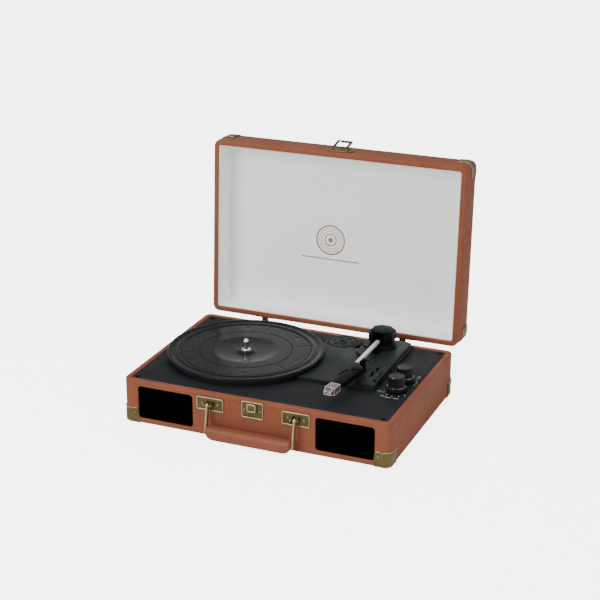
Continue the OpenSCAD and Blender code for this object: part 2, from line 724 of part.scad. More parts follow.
module lid_hinge_leaves() color("darkkhaki") opened() difference() {
    for (s = [-1, 1]) translate([s * hinge_x, 0, 0]) {
        translate([0, rear + plate_t, rim + 14]) front_plate(30, 20, 2, plate_t);
        translate([-4.6, rear + plate_t, rim + 4.4]) cube([9.2, hinge_back - plate_t + 0.8, 1.4]);
        translate([-4.6, hinge_y - 0.8, hinge_z + 1]) cube([9.2, 1.6, rim + 5.8 - hinge_z - 1]);
        translate([0, hinge_y, hinge_z]) rod_x(2.6, 9.2);
    }
    at_hinge() rod_x(1.3 + run, 3 * hinge_x);
    for (p = lid_leaf_screws) translate([p[0], rear - 2, p[1]]) front_hole();
}

module hasp_plate() color("darkkhaki") opened() difference() {
    union() {
        translate([0, front, hasp_z + 7]) front_plate(34, 16, 2, plate_t);
        for (x = [-11, 11]) translate([x, 0, 0]) {
            translate([0, hasp_y, hasp_z]) rod_x(1.9, 6);
            translate([-3, hasp_y, hasp_z - 0.9]) cube([6, 3.2, 1.8]);
        }
        translate([0, hasp_y, hasp_z]) rod_x(0.95, 20);
    }
    for (p = hasp_screws) translate([p[0], front - 3, p[1]]) front_hole();
}

// window-shaped hasp, drawn hanging closed over the catch, folded back on the lid
module hasp() color("darkkhaki") opened() translate([0, hasp_y, hasp_z]) rotate([-hasp_fold, 0, 0]) {
    difference() {
        union() {
            rod_x(1.8, 15.4);
            translate([-7.7, -0.6, -10]) cube([15.4, 1.2, 10]);
            translate([0, 0.6, -14.8]) front_plate(22, 21.4, 2, 1.2);
        }
        rod_x(0.95 + run, 20);
        translate([-7.4, -3, -22.6]) cube([14.8, 6, 17.4]);
    }
    translate([-6, -2.4, -25.5]) cube([12, 2, 1.2]);
}

placed() base_carcass();
placed() base_wrap();
placed() deck_plate();
placed() deck_screws();
placed() mech_chassis();
placed() spindle();
placed() motor();
placed() drive_belt();
placed() amp_board();
placed() function_switch();
placed() volume_pot();
placed() speaker_left();
placed() speaker_right();
placed() speaker_cones();
placed() grille_left();
placed() grille_right();
placed() handle_brackets();
placed() front_screws();
placed() handle_pins();
placed() catch_plate();
placed() base_corner_guards();
placed() base_corner_nails();
placed() base_hinge_leaves();
placed() hinge_pins();
placed() rear_screws();
placed() jack_panel();
placed() dc_jack();
placed() rca_jacks();
placed() phones_jack();
placed() feet();
placed() tonearm_base();
placed() tonearm_column();
placed() arm_rest();
placed() platter();
placed() platter_bush();
placed() motor_pulley();
placed() gimbal_hood();
placed() arm_block();
placed() arm_tube();
placed() headshell();
placed() cartridge();
placed() stylus();
placed() arm_clip();
placed() cue_lifter();
placed() cue_lever();
placed() speed_switch();
placed() autostop_switch();
placed() function_knob();
placed() volume_knob();
placed() adapter_45();
placed() handle_frame();
placed() handle_grip();
placed() lid_carcass();
placed() lid_wrap();
placed() lid_lining();
placed() lid_corner_guards();
placed() lid_fasteners();
placed() lid_hinge_leaves();
placed() hasp_plate();
placed() hasp();
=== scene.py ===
"""Suitcase record player: the finished cloth, brass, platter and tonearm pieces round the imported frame."""

import json
import math

import bmesh
import bpy
import numpy as np
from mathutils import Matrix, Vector


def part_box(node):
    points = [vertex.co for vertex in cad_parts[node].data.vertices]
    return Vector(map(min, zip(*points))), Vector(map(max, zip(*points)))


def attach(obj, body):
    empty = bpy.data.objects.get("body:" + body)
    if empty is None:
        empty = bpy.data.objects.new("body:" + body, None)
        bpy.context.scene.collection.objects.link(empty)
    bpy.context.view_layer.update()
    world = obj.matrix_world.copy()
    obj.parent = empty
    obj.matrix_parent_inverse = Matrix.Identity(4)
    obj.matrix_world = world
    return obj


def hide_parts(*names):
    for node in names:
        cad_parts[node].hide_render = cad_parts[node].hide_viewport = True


bl_info = {
    "name": "Suitcase record player",
    "version": (1, 0, 0),
    "blender": (4, 5, 0),
    "location": "3D View > Sidebar > Record player",
    "description": "Builds the finished pieces of a suitcase record player round its frame",
    "category": "Object",
}

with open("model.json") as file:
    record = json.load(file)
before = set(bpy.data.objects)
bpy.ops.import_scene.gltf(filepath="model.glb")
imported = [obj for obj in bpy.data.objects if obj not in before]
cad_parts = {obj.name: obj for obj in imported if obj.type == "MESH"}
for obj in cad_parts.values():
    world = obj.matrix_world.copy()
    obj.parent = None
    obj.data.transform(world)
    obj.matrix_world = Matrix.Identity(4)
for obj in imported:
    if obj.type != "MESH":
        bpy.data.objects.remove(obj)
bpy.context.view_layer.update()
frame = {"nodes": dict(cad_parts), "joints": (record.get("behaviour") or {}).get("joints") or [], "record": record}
BODY_OF = {n: body for body, nodes in frame["record"]["behaviour"]["bodies"].items() for n in nodes}
JOINTS = {joint["name"]: joint for joint in frame["joints"]}

# All shapes below are drawn in millimetres, with the base centred on X and Y and its feet on z = 0.
MM = 0.001
WRAP_LOW, WRAP_HIGH = (np.array(corner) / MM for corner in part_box("base_wrap"))
HALF_W, HALF_D = (WRAP_HIGH - WRAP_LOW)[:2] / 2
MID_Y = (WRAP_HIGH + WRAP_LOW)[1] / 2
FOOT, RIM = WRAP_LOW[2], WRAP_HIGH[2]
FRONT = -HALF_D
HINGE_Y, HINGE_Z = JOINTS["lid_hinge"]["pos_m"][1] / MM - MID_Y, JOINTS["lid_hinge"]["pos_m"][2] / MM
LID_ANGLE = math.radians(JOINTS["lid_hinge"]["range_deg"][0])
LID_GAP, LID_H, LID_BOARD = 0.4, 42.0, 4.0
LID_LOW, LID_HIGH = RIM + LID_GAP, RIM + LID_H
DECK_TOP = RIM - 1
PIVOT = np.array([91.0, 88.0, RIM + 18.5])
SPINDLE = np.array([-66.0, 5.0])
PLATTER_TOP = RIM + 9.5
CORNER = 9.0                        # radius of the case's upright corners
SPEAKER_X, SPEAKER_Z = 119.5, FOOT + 28
BRACKET_X, BRACKET_Z = 57, FOOT + 43
HINGE_X = 100
PLATE = 1.2                         # thickness of the brass plates
NAIL_Z, NAIL_IN = 13.5, 15.5        # how far a guard's nails lie from the case's end and from its side
THROUGH, SUNK = 30, 15              # a cutter's length, and how far of it lies inside the face it cuts
KNOBS = {"function": (150.5, -26.0), "volume": (150.5, 5.5)}
SIDES = (-1, 1)


# ---------------------------------------------------------------- shapes

def opened(points):
    """Turns points of the closed lid about the hinge pins to the open pose: a plain rotation about X."""
    y, z = points[..., 1] - HINGE_Y, points[..., 2] - HINGE_Z
    c, s = math.cos(LID_ANGLE), math.sin(LID_ANGLE)
    return np.stack([points[..., 0], HINGE_Y + c * y - s * z, HINGE_Z + s * y + c * z], -1)


def as_drawn(points):
    """Leaves points of the base where they are."""
    return points


def fillet(points, radii, steps=6):
    """Rounds the corners of a polyline: each corner becomes a quadratic curve whose ends lie one radius away
    along both legs, or half a leg if that is shorter."""
    points = np.asarray(points, float)
    radii = np.broadcast_to(radii, len(points))
    out = [points[:1]]
    t = np.linspace(0, 1, steps + 1)[:, None]
    for before, corner, after, radius in zip(points, points[1:], points[2:], radii[1:]):
        a, b = before - corner, after - corner
        la, lb = np.linalg.norm(a), np.linalg.norm(b)
        start, end = corner + a / la * min(radius, la / 2), corner + b / lb * min(radius, lb / 2)
        out.append((1 - t) ** 2 * start + 2 * t * (1 - t) * corner + t ** 2 * end)
    out.append(points[-1:])
    return np.concatenate(out)


def grid_faces(rows, columns, close_rows=False, close_columns=False):
    """Quads between neighbours of a grid of rows x columns points, closed round either way if asked."""
    r = np.arange(rows if close_rows else rows - 1)[:, None]
    c = np.arange(columns if close_columns else columns - 1)[None, :]
    r1, c1 = (r + 1) % rows, (c + 1) % columns
    quads = np.stack([r * columns + c, r * columns + c1, r1 * columns + c1, r1 * columns + c], -1)
    return quads.reshape(-1, 4).tolist()


def grid_shape(grid, close_rows=False, close_columns=False, caps=False):
    """A grid of points as (points, faces), with its first and last rows filled by flat faces if asked."""
    rows, columns = grid.shape[:2]
    faces = grid_faces(rows, columns, close_rows, close_columns)
    if caps:
        faces += [list(range(columns)), list(range((rows - 1) * columns, rows * columns))]
    return grid.reshape(-1, 3), faces


def joined(*shapes):
    """Several (points, faces) as one, with the face numbers moved on."""
    start = np.cumsum([0] + [len(points) for points, _ in shapes])
    faces = [[i + base for i in face] for (_, fs), base in zip(shapes, start) for face in fs]
    return np.concatenate([points for points, _ in shapes]), faces


def turned(profile, steps=96, at=(0, 0), ripple=None):
    """A profile of (radius, height) turned about an upright axis: x = r cos a, y = r sin a, z = h. ripple
    gives (change of radius, change of height) from the radius, height and angle."""
    profile = np.asarray(profile, float)
    angle = np.linspace(0, 2 * math.pi, steps, endpoint=False)[None, :]
    radius, height = profile[:, :1] + 0 * angle, profile[:, 1:] + 0 * angle
    if ripple:
        dr, dh = ripple(radius, height, angle)
        radius, height = radius + dr, height + dh
    grid = np.stack([at[0] + radius * np.cos(angle), at[1] + radius * np.sin(angle), height], -1)
    return grid_shape(grid, close_columns=True)


def loop(half_x, half_y, corner, steps=8):
    """A rectangle with round corners, anticlockwise: each corner is a quarter circle about its own centre."""
    quarter = np.linspace(0, math.pi / 2, steps + 1)
    out = []
    for k, (sx, sy) in enumerate([(1, 1), (-1, 1), (-1, -1), (1, -1)]):
        a = quarter + k * math.pi / 2
        out.append(np.stack([sx * (half_x - corner) + corner * np.cos(a),
                             sy * (half_y - corner) + corner * np.sin(a)], -1))
    return np.concatenate(out)


def ringed(half_x, half_y, corner, profile, least=0.3, steps=8, **closing):
    """A profile of (offset, height) carried round a round-cornered rectangle. At each offset the rectangle's
    sides move out by it and its corner radius grows by it, but never below the least radius."""
    rows = [np.column_stack([loop(half_x + o, half_y + o, max(corner + o, least), steps),
                             np.full(4 * (steps + 1), h)]) for o, h in profile]
    return grid_shape(np.stack(rows), close_columns=True, **closing)


def stood_up(shape, x, z, y):
    """Stands a shape drawn lying on z = 0 up in the XZ plane, facing -Y, its back on the given y."""
    points, faces = shape
    return np.stack([x + points[:, 0], y - points[:, 2], z + points[:, 1]], -1), faces


def along_x(sections, stations):
    """Closed sections of (y, z) placed at stations along X, with flat ends."""
    grid = np.concatenate([np.broadcast_to(np.asarray(stations, float)[:, None, None],
                                           sections.shape[:2] + (1,)), sections], -1)
    return grid_shape(grid, close_columns=True, caps=True)


def moved(shape, change):
    """A shape with a function applied to its points."""
    return change(shape[0]), shape[1]


# ---------------------------------------------------------------- pieces

def smooth_by_angle(mesh, degrees):
    """Smooth shading, split where faces meet at more than the angle."""
    mesh.polygons.foreach_set("use_smooth", np.ones(len(mesh.polygons), bool))
    mesh.set_sharp_from_angle(angle=math.radians(degrees))


def linked(name, data):
    """A new object in the scene."""
    obj = bpy.data.objects.new(name, data)
    bpy.context.scene.collection.objects.link(obj)
    return obj


def box_of(node):
    """The lowest and highest corners of a frame node, in drawn millimetres."""
    return [np.array(corner) / MM - [0, MID_Y, 0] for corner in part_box(node)]


def place(obj, body, material, stands_for=()):
    """Gives a piece its finish and makes it ride."""
    obj.data.materials.clear()
    obj.data.materials.append(material)
    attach(obj, body)
    if stands_for:
        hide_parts(*stands_for)
    return obj


def mesh_of(name, shape, put=as_drawn, degrees=35):
    """A mesh in metres in the row frame, its doubles merged and its faces pointing outwards."""
    points, faces = shape
    points = (put(points) + [0, MID_Y, 0]) * MM
    mesh = bpy.data.meshes.new(name)
    mesh.from_pydata(points.tolist(), [], faces)
    bm = bmesh.new()
    bm.from_mesh(mesh)
    bmesh.ops.remove_doubles(bm, verts=bm.verts, dist=1e-6)
    bmesh.ops.recalc_face_normals(bm, faces=bm.faces)
    bm.to_mesh(mesh)
    bm.free()
    smooth_by_angle(mesh, degrees)
    return mesh


def piece(name, shape, body, finish, put=as_drawn, stands_for=(), degrees=35):
    """A finished piece from a shape."""
    obj = linked(name, mesh_of(name, shape, put, degrees))
    return place(obj, body, material_of(finish), stands_for)


def stand_in(node, name, shape, finish, put=as_drawn, degrees=35):
    """A finished piece that replaces a frame node, in that node's body."""
    return piece(name, shape, BODY_OF[node], finish, put, [node], degrees)


def settle(obj):
    """Applies a piece's modifiers to its mesh."""
    bpy.context.view_layer.update()
    mesh = bpy.data.meshes.new_from_object(obj.evaluated_get(bpy.context.evaluated_depsgraph_get()))
    obj.modifiers.clear()
    obj.data = mesh
    return obj


def cut(obj, cutter_shape, put=as_drawn):
    """Cuts a closed shape out of a closed piece."""
    cutter = linked("cutter", mesh_of("cutter", cutter_shape, put))
    mod = obj.modifiers.new("Cut", "BOOLEAN")
    mod.operation, mod.solver, mod.object = "DIFFERENCE", "EXACT", cutter
    settle(obj)
    bpy.data.objects.remove(cutter)


def round_edges(obj, width, steps=2, degrees=40):
    """Rounds the sharp edges of a piece."""
    mod = obj.modifiers.new("Rounded edges", "BEVEL")
    mod.width, mod.segments, mod.limit_method = width * MM, steps, "ANGLE"
    mod.angle_limit, mod.harden_normals = math.radians(degrees), False
    settle(obj)
    smooth_by_angle(obj.data, 35)


def softened(node, finish, width=0.3, steps=2):
    """A copy of a frame node with its sharp edges rounded, standing for the node."""
    source = frame["nodes"][node]
    obj = linked(node + "_finished", source.data.copy())
    bm = bmesh.new()
    bm.from_mesh(obj.data)
    bmesh.ops.remove_doubles(bm, verts=bm.verts, dist=2e-6)
    bmesh.ops.dissolve_limit(bm, angle_limit=math.radians(0.5), verts=bm.verts, edges=bm.edges)
    bm.to_mesh(obj.data)
    bm.free()
    round_edges(obj, width, steps)
    return place(obj, BODY_OF[node], material_of(finish), [node])


def refinished(finish, *nodes):
    """Gives frame nodes whose shape is right a finish."""
    for node in nodes:
        materials = frame["nodes"][node].data.materials
        materials.clear()
        materials.append(material_of(finish))


# ---------------------------------------------------------------- finishes

def node(tree, kind, values=None, **settings):
    """Adds a shader node. Values are numbers, or sockets to link from."""
    made = tree.nodes.new(kind)
    for key, value in settings.items():
        setattr(made, key, value)
    for key, value in (values or {}).items():
        if isinstance(value, bpy.types.NodeSocket):
            tree.links.new(value, made.inputs[key])
        else:
            made.inputs[key].default_value = value
    return made


def effect(name, inputs, outputs):
    """An empty shader node group with float sockets, and its input and output nodes' sockets."""
    tree = bpy.data.node_groups.new(name, "ShaderNodeTree")
    for key, value in inputs.items():
        tree.interface.new_socket(key, in_out="INPUT", socket_type="NodeSocketFloat").default_value = value
    for key in outputs:
        tree.interface.new_socket(key, in_out="OUTPUT", socket_type="NodeSocketFloat")
    return tree, tree.nodes.new("NodeGroupInput").outputs, tree.nodes.new("NodeGroupOutput").inputs


def object_place(tree, stretch=(1, 1, 1)):
    """Object coordinates, stretched along the axes."""
    coordinates = node(tree, "ShaderNodeTexCoord").outputs["Object"]
    return node(tree, "ShaderNodeMapping", {"Vector": coordinates, "Scale": stretch}).outputs["Vector"]


def math_node(tree, operation, *values):
    """The result of an operation on numbers or sockets."""
    return node(tree, "ShaderNodeMath", dict(enumerate(values)), operation=operation).outputs[0]


def weighted(tree, *terms):
    """The sum of (value, weight) terms."""
    total, *others = (math_node(tree, "MULTIPLY", value, weight) for value, weight in terms)
    for other in others:
        total = math_node(tree, "ADD", total, other)
    return total


def noise(tree, where, scale, detail, rough=0.5):
    """A noise texture node at the given coordinates."""
    values = {"Vector": where, "Scale": scale, "Detail": detail, "Roughness": rough}
    return node(tree, "ShaderNodeTexNoise", values)


def mixed(tree, factor, one, other):
    """A colour between two colours, each a triple or a socket."""
    one, other = (value if isinstance(value, bpy.types.NodeSocket) else (*value, 1) for value in (one, other))
    return node(tree, "ShaderNodeMix", {"Factor": factor, "A": one, "B": other}, data_type="RGBA").outputs[2]


def levels(tree, value, low, high, to_low=0.0, to_high=1.0):
    """Maps low..high to to_low..to_high and holds it there."""
    return node(tree, "ShaderNodeMapRange", {"Value": value, "From Min": low, "From Max": high,
                "To Min": to_low, "To Max": to_high}, clamp=True).outputs["Result"]


def make_leather_effect():
    """Cloth grain: pebbles between fine creases, and broad soft patches of tone."""
    tree, given, result = effect("Leather grain", {"Pebbles": 1100.0}, ["Height", "Tone"])
    where = object_place(tree)
    warp = noise(tree, where, 260.0, 2.0)
    bent = node(tree, "ShaderNodeMix", {"Factor": 0.0016, "A": where, "B": warp.outputs["Color"]},
                data_type="VECTOR")
    cells = node(tree, "ShaderNodeTexVoronoi", {"Vector": bent.outputs["Result"], "Scale": given["Pebbles"]},
                 feature="DISTANCE_TO_EDGE")
    fine = noise(tree, where, 2600.0, 3.0).outputs["Fac"]
    pebble = levels(tree, cells.outputs["Distance"], 0.0, 0.22)
    tree.links.new(weighted(tree, (pebble, 0.75), (fine, 0.35)), result["Height"])
    broad = levels(tree, noise(tree, where, 14.0, 4.0, 0.6).outputs["Fac"], 0.3, 0.7)
    patch = levels(tree, noise(tree, where, 90.0, 5.0).outputs["Fac"], 0.35, 0.65)
    tree.links.new(weighted(tree, (broad, 0.55), (patch, 0.3), (pebble, 0.15)), result["Tone"])
    return tree


def make_speckle_effect():
    """Moulded plastic or paint: fine even texture, with faint cloudiness."""
    tree, given, result = effect("Moulded speckle", {"Fineness": 2200.0}, ["Height", "Tone"])
    where = object_place(tree)
    fine = noise(tree, where, given["Fineness"], 2.0).outputs["Fac"]
    cloud = levels(tree, noise(tree, where, 30.0, 6.0, 0.65).outputs["Fac"], 0.3, 0.7)
    tree.links.new(fine, result["Height"])
    tree.links.new(weighted(tree, (cloud, 0.7), (fine, 0.3)), result["Tone"])
    return tree


def make_brushed_effect():
    """Drawn or rolled metal: long fine lines along Y, and smudges."""
    tree, given, result = effect("Drawn metal", {"Lines": 3.0}, ["Height", "Tone"])
    lines = noise(tree, object_place(tree, (1200, 30, 1200)), given["Lines"], 3.0).outputs["Fac"]
    smudge = levels(tree, noise(tree, object_place(tree), 60.0, 5.0).outputs["Fac"], 0.35, 0.65)
    tree.links.new(lines, result["Height"])
    tree.links.new(weighted(tree, (lines, 0.4), (smudge, 0.6)), result["Tone"])
    return tree


def make_weave_effect():
    """Fine mesh: threads crossing along X and Z, seen as little squares."""
    tree, given, result = effect("Fine mesh", {"Threads": 900.0}, ["Height", "Tone"])
    axes = node(tree, "ShaderNodeSeparateXYZ", {"Vector": object_place(tree)})
    turns = [math_node(tree, "MULTIPLY", axes.outputs[axis], given["Threads"]) for axis in ("X", "Z")]
    waves = [math_node(tree, "SINE", math_node(tree, "MULTIPLY", turn, 2 * math.pi)) for turn in turns]
    crossing = levels(tree, math_node(tree, "MULTIPLY", *waves), -0.4, 0.6)
    tree.links.new(crossing, result["Height"])
    tree.links.new(crossing, result["Tone"])
    return tree


def make_wear_effect():
    """Wear: rubbed edges and grimy hollows from how sharply the surface bends, broken up by noise."""
    tree, given, result = effect("Edge wear", {"Edge": 0.54, "Hollow": 0.47}, ["Rubbed", "Grimy"])
    bend = node(tree, "ShaderNodeNewGeometry").outputs["Pointiness"]
    grain = math_node(tree, "SUBTRACT", noise(tree, object_place(tree), 420.0, 4.0).outputs["Fac"], 0.5)
    noisy = math_node(tree, "ADD", bend, math_node(tree, "MULTIPLY", grain, 0.05))
    edge = math_node(tree, "SUBTRACT", noisy, given["Edge"])
    hollow = math_node(tree, "SUBTRACT", given["Hollow"], noisy)
    tree.links.new(levels(tree, edge, 0.0, 0.05), result["Rubbed"])
    tree.links.new(levels(tree, hollow, 0.0, 0.04), result["Grimy"])
    return tree


EFFECTS = {"leather": make_leather_effect, "speckle": make_speckle_effect, "brushed": make_brushed_effect,
           "weave": make_weave_effect, "wear": make_wear_effect}

# finish: (effect, its value, dark colour, light colour, rough low, rough high, metallic, bump in mm)
FINISHES = {
    "leathercloth": ("leather", 1100, (0.195, 0.058, 0.029), (0.262, 0.085, 0.043), 0.54, 0.68, 0, 0.05),
    "grip leathercloth": ("leather", 1500, (0.190, 0.055, 0.027), (0.250, 0.078, 0.038), 0.40, 0.54, 0, 0.03),
    "seam shadow": ("leather", 1100, (0.030, 0.008, 0.004), (0.05, 0.015, 0.008), 0.7, 0.8, 0, 0.03),
    "lining": ("speckle", 2600, (0.93, 0.96, 0.94), (0.95, 0.98, 0.96), 0.6, 0.75, 0, 0.012),
    "lining edge": ("speckle", 2600, (0.62, 0.55, 0.42), (0.76, 0.70, 0.58), 0.5, 0.6, 0, 0.01),
    "raw board": ("leather", 2600, (0.34, 0.23, 0.13), (0.50, 0.36, 0.22), 0.85, 0.95, 0, 0.05),
    "antique brass": ("speckle", 900, (0.050, 0.036, 0.014), (0.185, 0.138, 0.058), 0.34, 0.52, 0.85, 0.03),
    "bright brass": ("speckle", 900, (0.30, 0.24, 0.115), (0.55, 0.47, 0.27), 0.26, 0.42, 0.9, 0.02),
    "pressed brass": ("speckle", 700, (0.090, 0.064, 0.024), (0.22, 0.165, 0.070), 0.32, 0.50, 0.85, 0.03),
    "brass fastener": ("speckle", 900, (0.13, 0.10, 0.045), (0.33, 0.26, 0.13), 0.26, 0.40, 0.9, 0.01),
    "emblem foil": ("brushed", 3, (0.30, 0.145, 0.052), (0.46, 0.25, 0.11), 0.3, 0.45, 0.6, 0.004),
    "deck black": ("speckle", 2600, (0.0125, 0.0135, 0.0155), (0.018, 0.019, 0.022), 0.50, 0.62, 0, 0.03),
    "mechanism black": ("speckle", 2200, (0.013, 0.015, 0.016), (0.019, 0.022, 0.023), 0.42, 0.54, 0, 0.02),
    "arm black": ("speckle", 2400, (0.0025, 0.0028, 0.003), (0.005, 0.0055, 0.006), 0.32, 0.44, 0, 0.012),
    "knob black": ("speckle", 2600, (0.006, 0.006, 0.007), (0.010, 0.010, 0.012), 0.26, 0.36, 0, 0.008),
    "knob top": ("brushed", 3, (0.012, 0.013, 0.014), (0.020, 0.021, 0.023), 0.35, 0.48, 0, 0.006),
    "platter black": ("speckle", 3200, (0.008, 0.008, 0.009), (0.013, 0.013, 0.015), 0.17, 0.27, 0, 0.004),
    "chrome": ("speckle", 800, (0.70, 0.71, 0.73), (0.82, 0.83, 0.85), 0.07, 0.14, 1, 0.002),
    "arm silver": ("brushed", 3, (0.66, 0.64, 0.55), (0.85, 0.84, 0.73), 0.26, 0.40, 0.45, 0.006),
    "plated steel": ("brushed", 4, (0.38, 0.39, 0.40), (0.55, 0.56, 0.57), 0.3, 0.5, 1, 0.008),
    "turned brass": ("brushed", 4, (0.55, 0.40, 0.14), (0.75, 0.58, 0.26), 0.22, 0.35, 1, 0.005),
    "rubber": ("speckle", 1600, (0.012, 0.012, 0.012), (0.024, 0.024, 0.024), 0.7, 0.85, 0, 0.04),
    "cone paper": ("leather", 2000, (0.012, 0.012, 0.012), (0.03, 0.03, 0.03), 0.8, 0.9, 0, 0.05),
    "grille mesh": ("weave", 900, (0.0004, 0.0004, 0.0004), (0.0012, 0.0012, 0.0014), 0.6, 0.8, 0, 0.05),
    "circuit board": ("speckle", 900, (0.010, 0.10, 0.035), (0.02, 0.17, 0.06), 0.3, 0.45, 0, 0.01),
    "jack plastic": ("speckle", 2000, (0.012, 0.012, 0.012), (0.022, 0.022, 0.022), 0.3, 0.4, 0, 0.01),
    "stylus red": ("speckle", 2000, (0.33, 0.012, 0.030), (0.50, 0.025, 0.050), 0.25, 0.35, 0, 0.005),
    "cartridge core": ("speckle", 1200, (0.05, 0.004, 0.010), (0.16, 0.014, 0.030), 0.3, 0.4, 0, 0.005),
    # painted highlight: the pale colour of the bars along the cartridge's edges stands in for light caught on the
    # clear plastic
    "painted edge highlight": ("speckle", 2000, (0.62, 0.52, 0.56), (0.80, 0.72, 0.76), 0.12, 0.2, 0, 0.003),
    "knob chrome": ("speckle", 800, (0.22, 0.23, 0.24), (0.34, 0.35, 0.36), 0.14, 0.22, 1, 0.002),
    "marking white": ("speckle", 2600, (0.60, 0.61, 0.62), (0.75, 0.76, 0.77), 0.5, 0.6, 0, 0.002),
}
# how strongly each finish shines, where it is less or more than the usual half
SHINE = {"deck black": 0.08, "mechanism black": 0.09, "arm black": 0.06, "knob black": 0.1, "knob top": 0.12,
         "platter black": 0.07, "grille mesh": 0.0, "leathercloth": 0.14, "grip leathercloth": 0.26,
         "lining": 0.2, "rubber": 0.3}
# the colour of each worn finish where it is rubbed, and how much of its dark colour is left in grimy hollows
RUBBED = {"pressed brass": (0.55, 0.47, 0.28)}
GRIME = 0.22


def material_of(name):
    """The material of that name, made when first asked for."""
    made = bpy.data.materials.get("finish " + name)
    if made:
        return made
    if name == "clear shell":
        return make_clear_shell("finish " + name)
    kind, value, dark, light, rough_low, rough_high, metallic, bump = FINISHES[name]
    made = bpy.data.materials.new("finish " + name)
    made.use_nodes = True
    tree = made.node_tree
    shader = tree.nodes["Principled BSDF"]
    group = node(tree, "ShaderNodeGroup", node_tree=effect_of(kind))
    group.inputs[0].default_value = value
    tone, height = group.outputs["Tone"], group.outputs["Height"]
    colour = mixed(tree, tone, dark, light)
    rough = levels(tree, tone, 0.0, 1.0, rough_high, rough_low)
    if name in RUBBED:
        wear = node(tree, "ShaderNodeGroup", node_tree=effect_of("wear"))
        grime = [channel * GRIME for channel in dark]
        colour = mixed(tree, wear.outputs["Rubbed"], colour, RUBBED[name])
        colour = mixed(tree, wear.outputs["Grimy"], colour, grime)
    tree.links.new(colour, shader.inputs["Base Color"])
    tree.links.new(rough, shader.inputs["Roughness"])
    bumped = node(tree, "ShaderNodeBump", {"Height": height, "Strength": 1.0, "Distance": bump * MM})
    tree.links.new(bumped.outputs["Normal"], shader.inputs["Normal"])
    shader.inputs["Metallic"].default_value = metallic
    shader.inputs["Specular IOR Level"].default_value = SHINE.get(name, 0.5)
    return made


def effect_of(kind):
    """The shared effect of that kind, made when first asked for."""
    key = "effect " + kind
    made = bpy.data.node_groups.get(key)
    if not made:
        made = EFFECTS[kind]()
        made.name = key
    return made


def make_clear_shell(name):
    """Clear moulded plastic with a faint warm tint and fine scratches."""
    made = bpy.data.materials.new(name)
    made.use_nodes = True
    tree = made.node_tree
    shader = tree.nodes["Principled BSDF"]
    group = node(tree, "ShaderNodeGroup", node_tree=effect_of("speckle"))
    tree.links.new(levels(tree, group.outputs["Tone"], 0.0, 1.0, 0.09, 0.03), shader.inputs["Roughness"])
    bumped = node(tree, "ShaderNodeBump", {"Height": group.outputs["Height"], "Distance": 0.0005 * MM})
    tree.links.new(bumped.outputs["Normal"], shader.inputs["Normal"])
    shader.inputs["Base Color"].default_value = (0.96, 0.93, 0.94, 1)
    shader.inputs["Transmission Weight"].default_value = 0.94
    shader.inputs["IOR"].default_value = 1.45
    return made


# ---------------------------------------------------------------- the user's settings

def number(name, description, default, low, high, unit="NONE"):
    """A setting with its limits."""
    return bpy.props.FloatProperty(name=name, description=description, default=default, min=low, max=high,
                                   unit=unit)


def length(*values):
    """A length in metres, from its name, description, default and limits."""
    return number(*values, unit="LENGTH")


def turn_of(*values):
    """An angle, from its name, description, default and limits."""
    return number(*values, unit="ROTATION")


class CaseSettings(bpy.types.PropertyGroup):
    """Sizes of the case's cloth and lining"""
    rim_round: length("Rim rounding", "How round the case's edges are", 0.0022, 0.0005, 0.004)
    opening_round: length("Opening rounding", "How round the openings' edges are", 0.0009, 0.0002, 0.002)
    seam_y: length("Seam place", "Where the side's seam stands, from the case's middle", -0.102, -0.11, -0.05)
    emblem_r: length("Emblem size", "Radius of the foil emblem in the lid", 0.021, 0.01, 0.04)


class BrassSettings(bpy.types.PropertyGroup):
    """Sizes of the brass fittings"""
    ridge: length("Plate ridge", "Height of the ridge round each plate", 0.00045, 0.0001, 0.001)
    guard_reach: length("Guard reach", "How far a corner guard reaches along a face", 0.0205, 0.012, 0.03)
    guard_relief: length("Guard relief", "Height of the pattern pressed into the guards", 0.00028, 0, 0.0006)


class StageSettings(bpy.types.PropertyGroup):
    """Camera and light"""
    turn: turn_of("Camera turn", "Angle to the right of straight ahead", math.radians(22.69), -math.pi,
                  math.pi)
    height: turn_of("Camera height", "Angle above the level", math.radians(20.88), -math.pi / 2, math.pi / 2)
    distance: length("Camera distance", "From the camera to the point that it looks at", 1.9, 0.2, 20)
    target: bpy.props.FloatVectorProperty(
        name="Camera target", description="The point that the camera looks at",
        default=(0.0230, -0.0532, 0.1620), subtype="TRANSLATION", unit="LENGTH")
    lens: number("Lens", "Focal length in millimetres", 92.5, 20, 200)
    key_power: number("Key light", "Power of the main softbox in watts", 48, 0, 500)
    floor_glow: number("Floor glow", "How much whiter the paper floor is seen", 5.0, 0, 9)
    ambient: number("Ambient", "Brightness of the white room", 0.62, 0, 3)


SETTINGS = {"rp_case": CaseSettings, "rp_brass": BrassSettings, "rp_stage": StageSettings}


# ---------------------------------------------------------------- case

def tray_profile(bottom, top, wall, floor, rounding):
    """Section of a tray, from the middle of its underside round the outer edge, over the rim and down inside
    to the middle of its floor."""
    corners = [(-40, bottom), (0, bottom), (0, top), (-wall, top), (-wall, floor), (-40, floor)]
    return fillet(corners, [0, rounding, rounding, rounding * 0.8, 1.0, 0], 7)


def mouth_cutter(half_x, half_z, corner, x, y):
    """A long block with round corners that cuts an opening in the front or rear wall."""
    block = ringed(half_x, half_z, corner, [(0, 0), (0, THROUGH)], caps=True)
    return stood_up(block, x, SPEAKER_Z, y + SUNK)


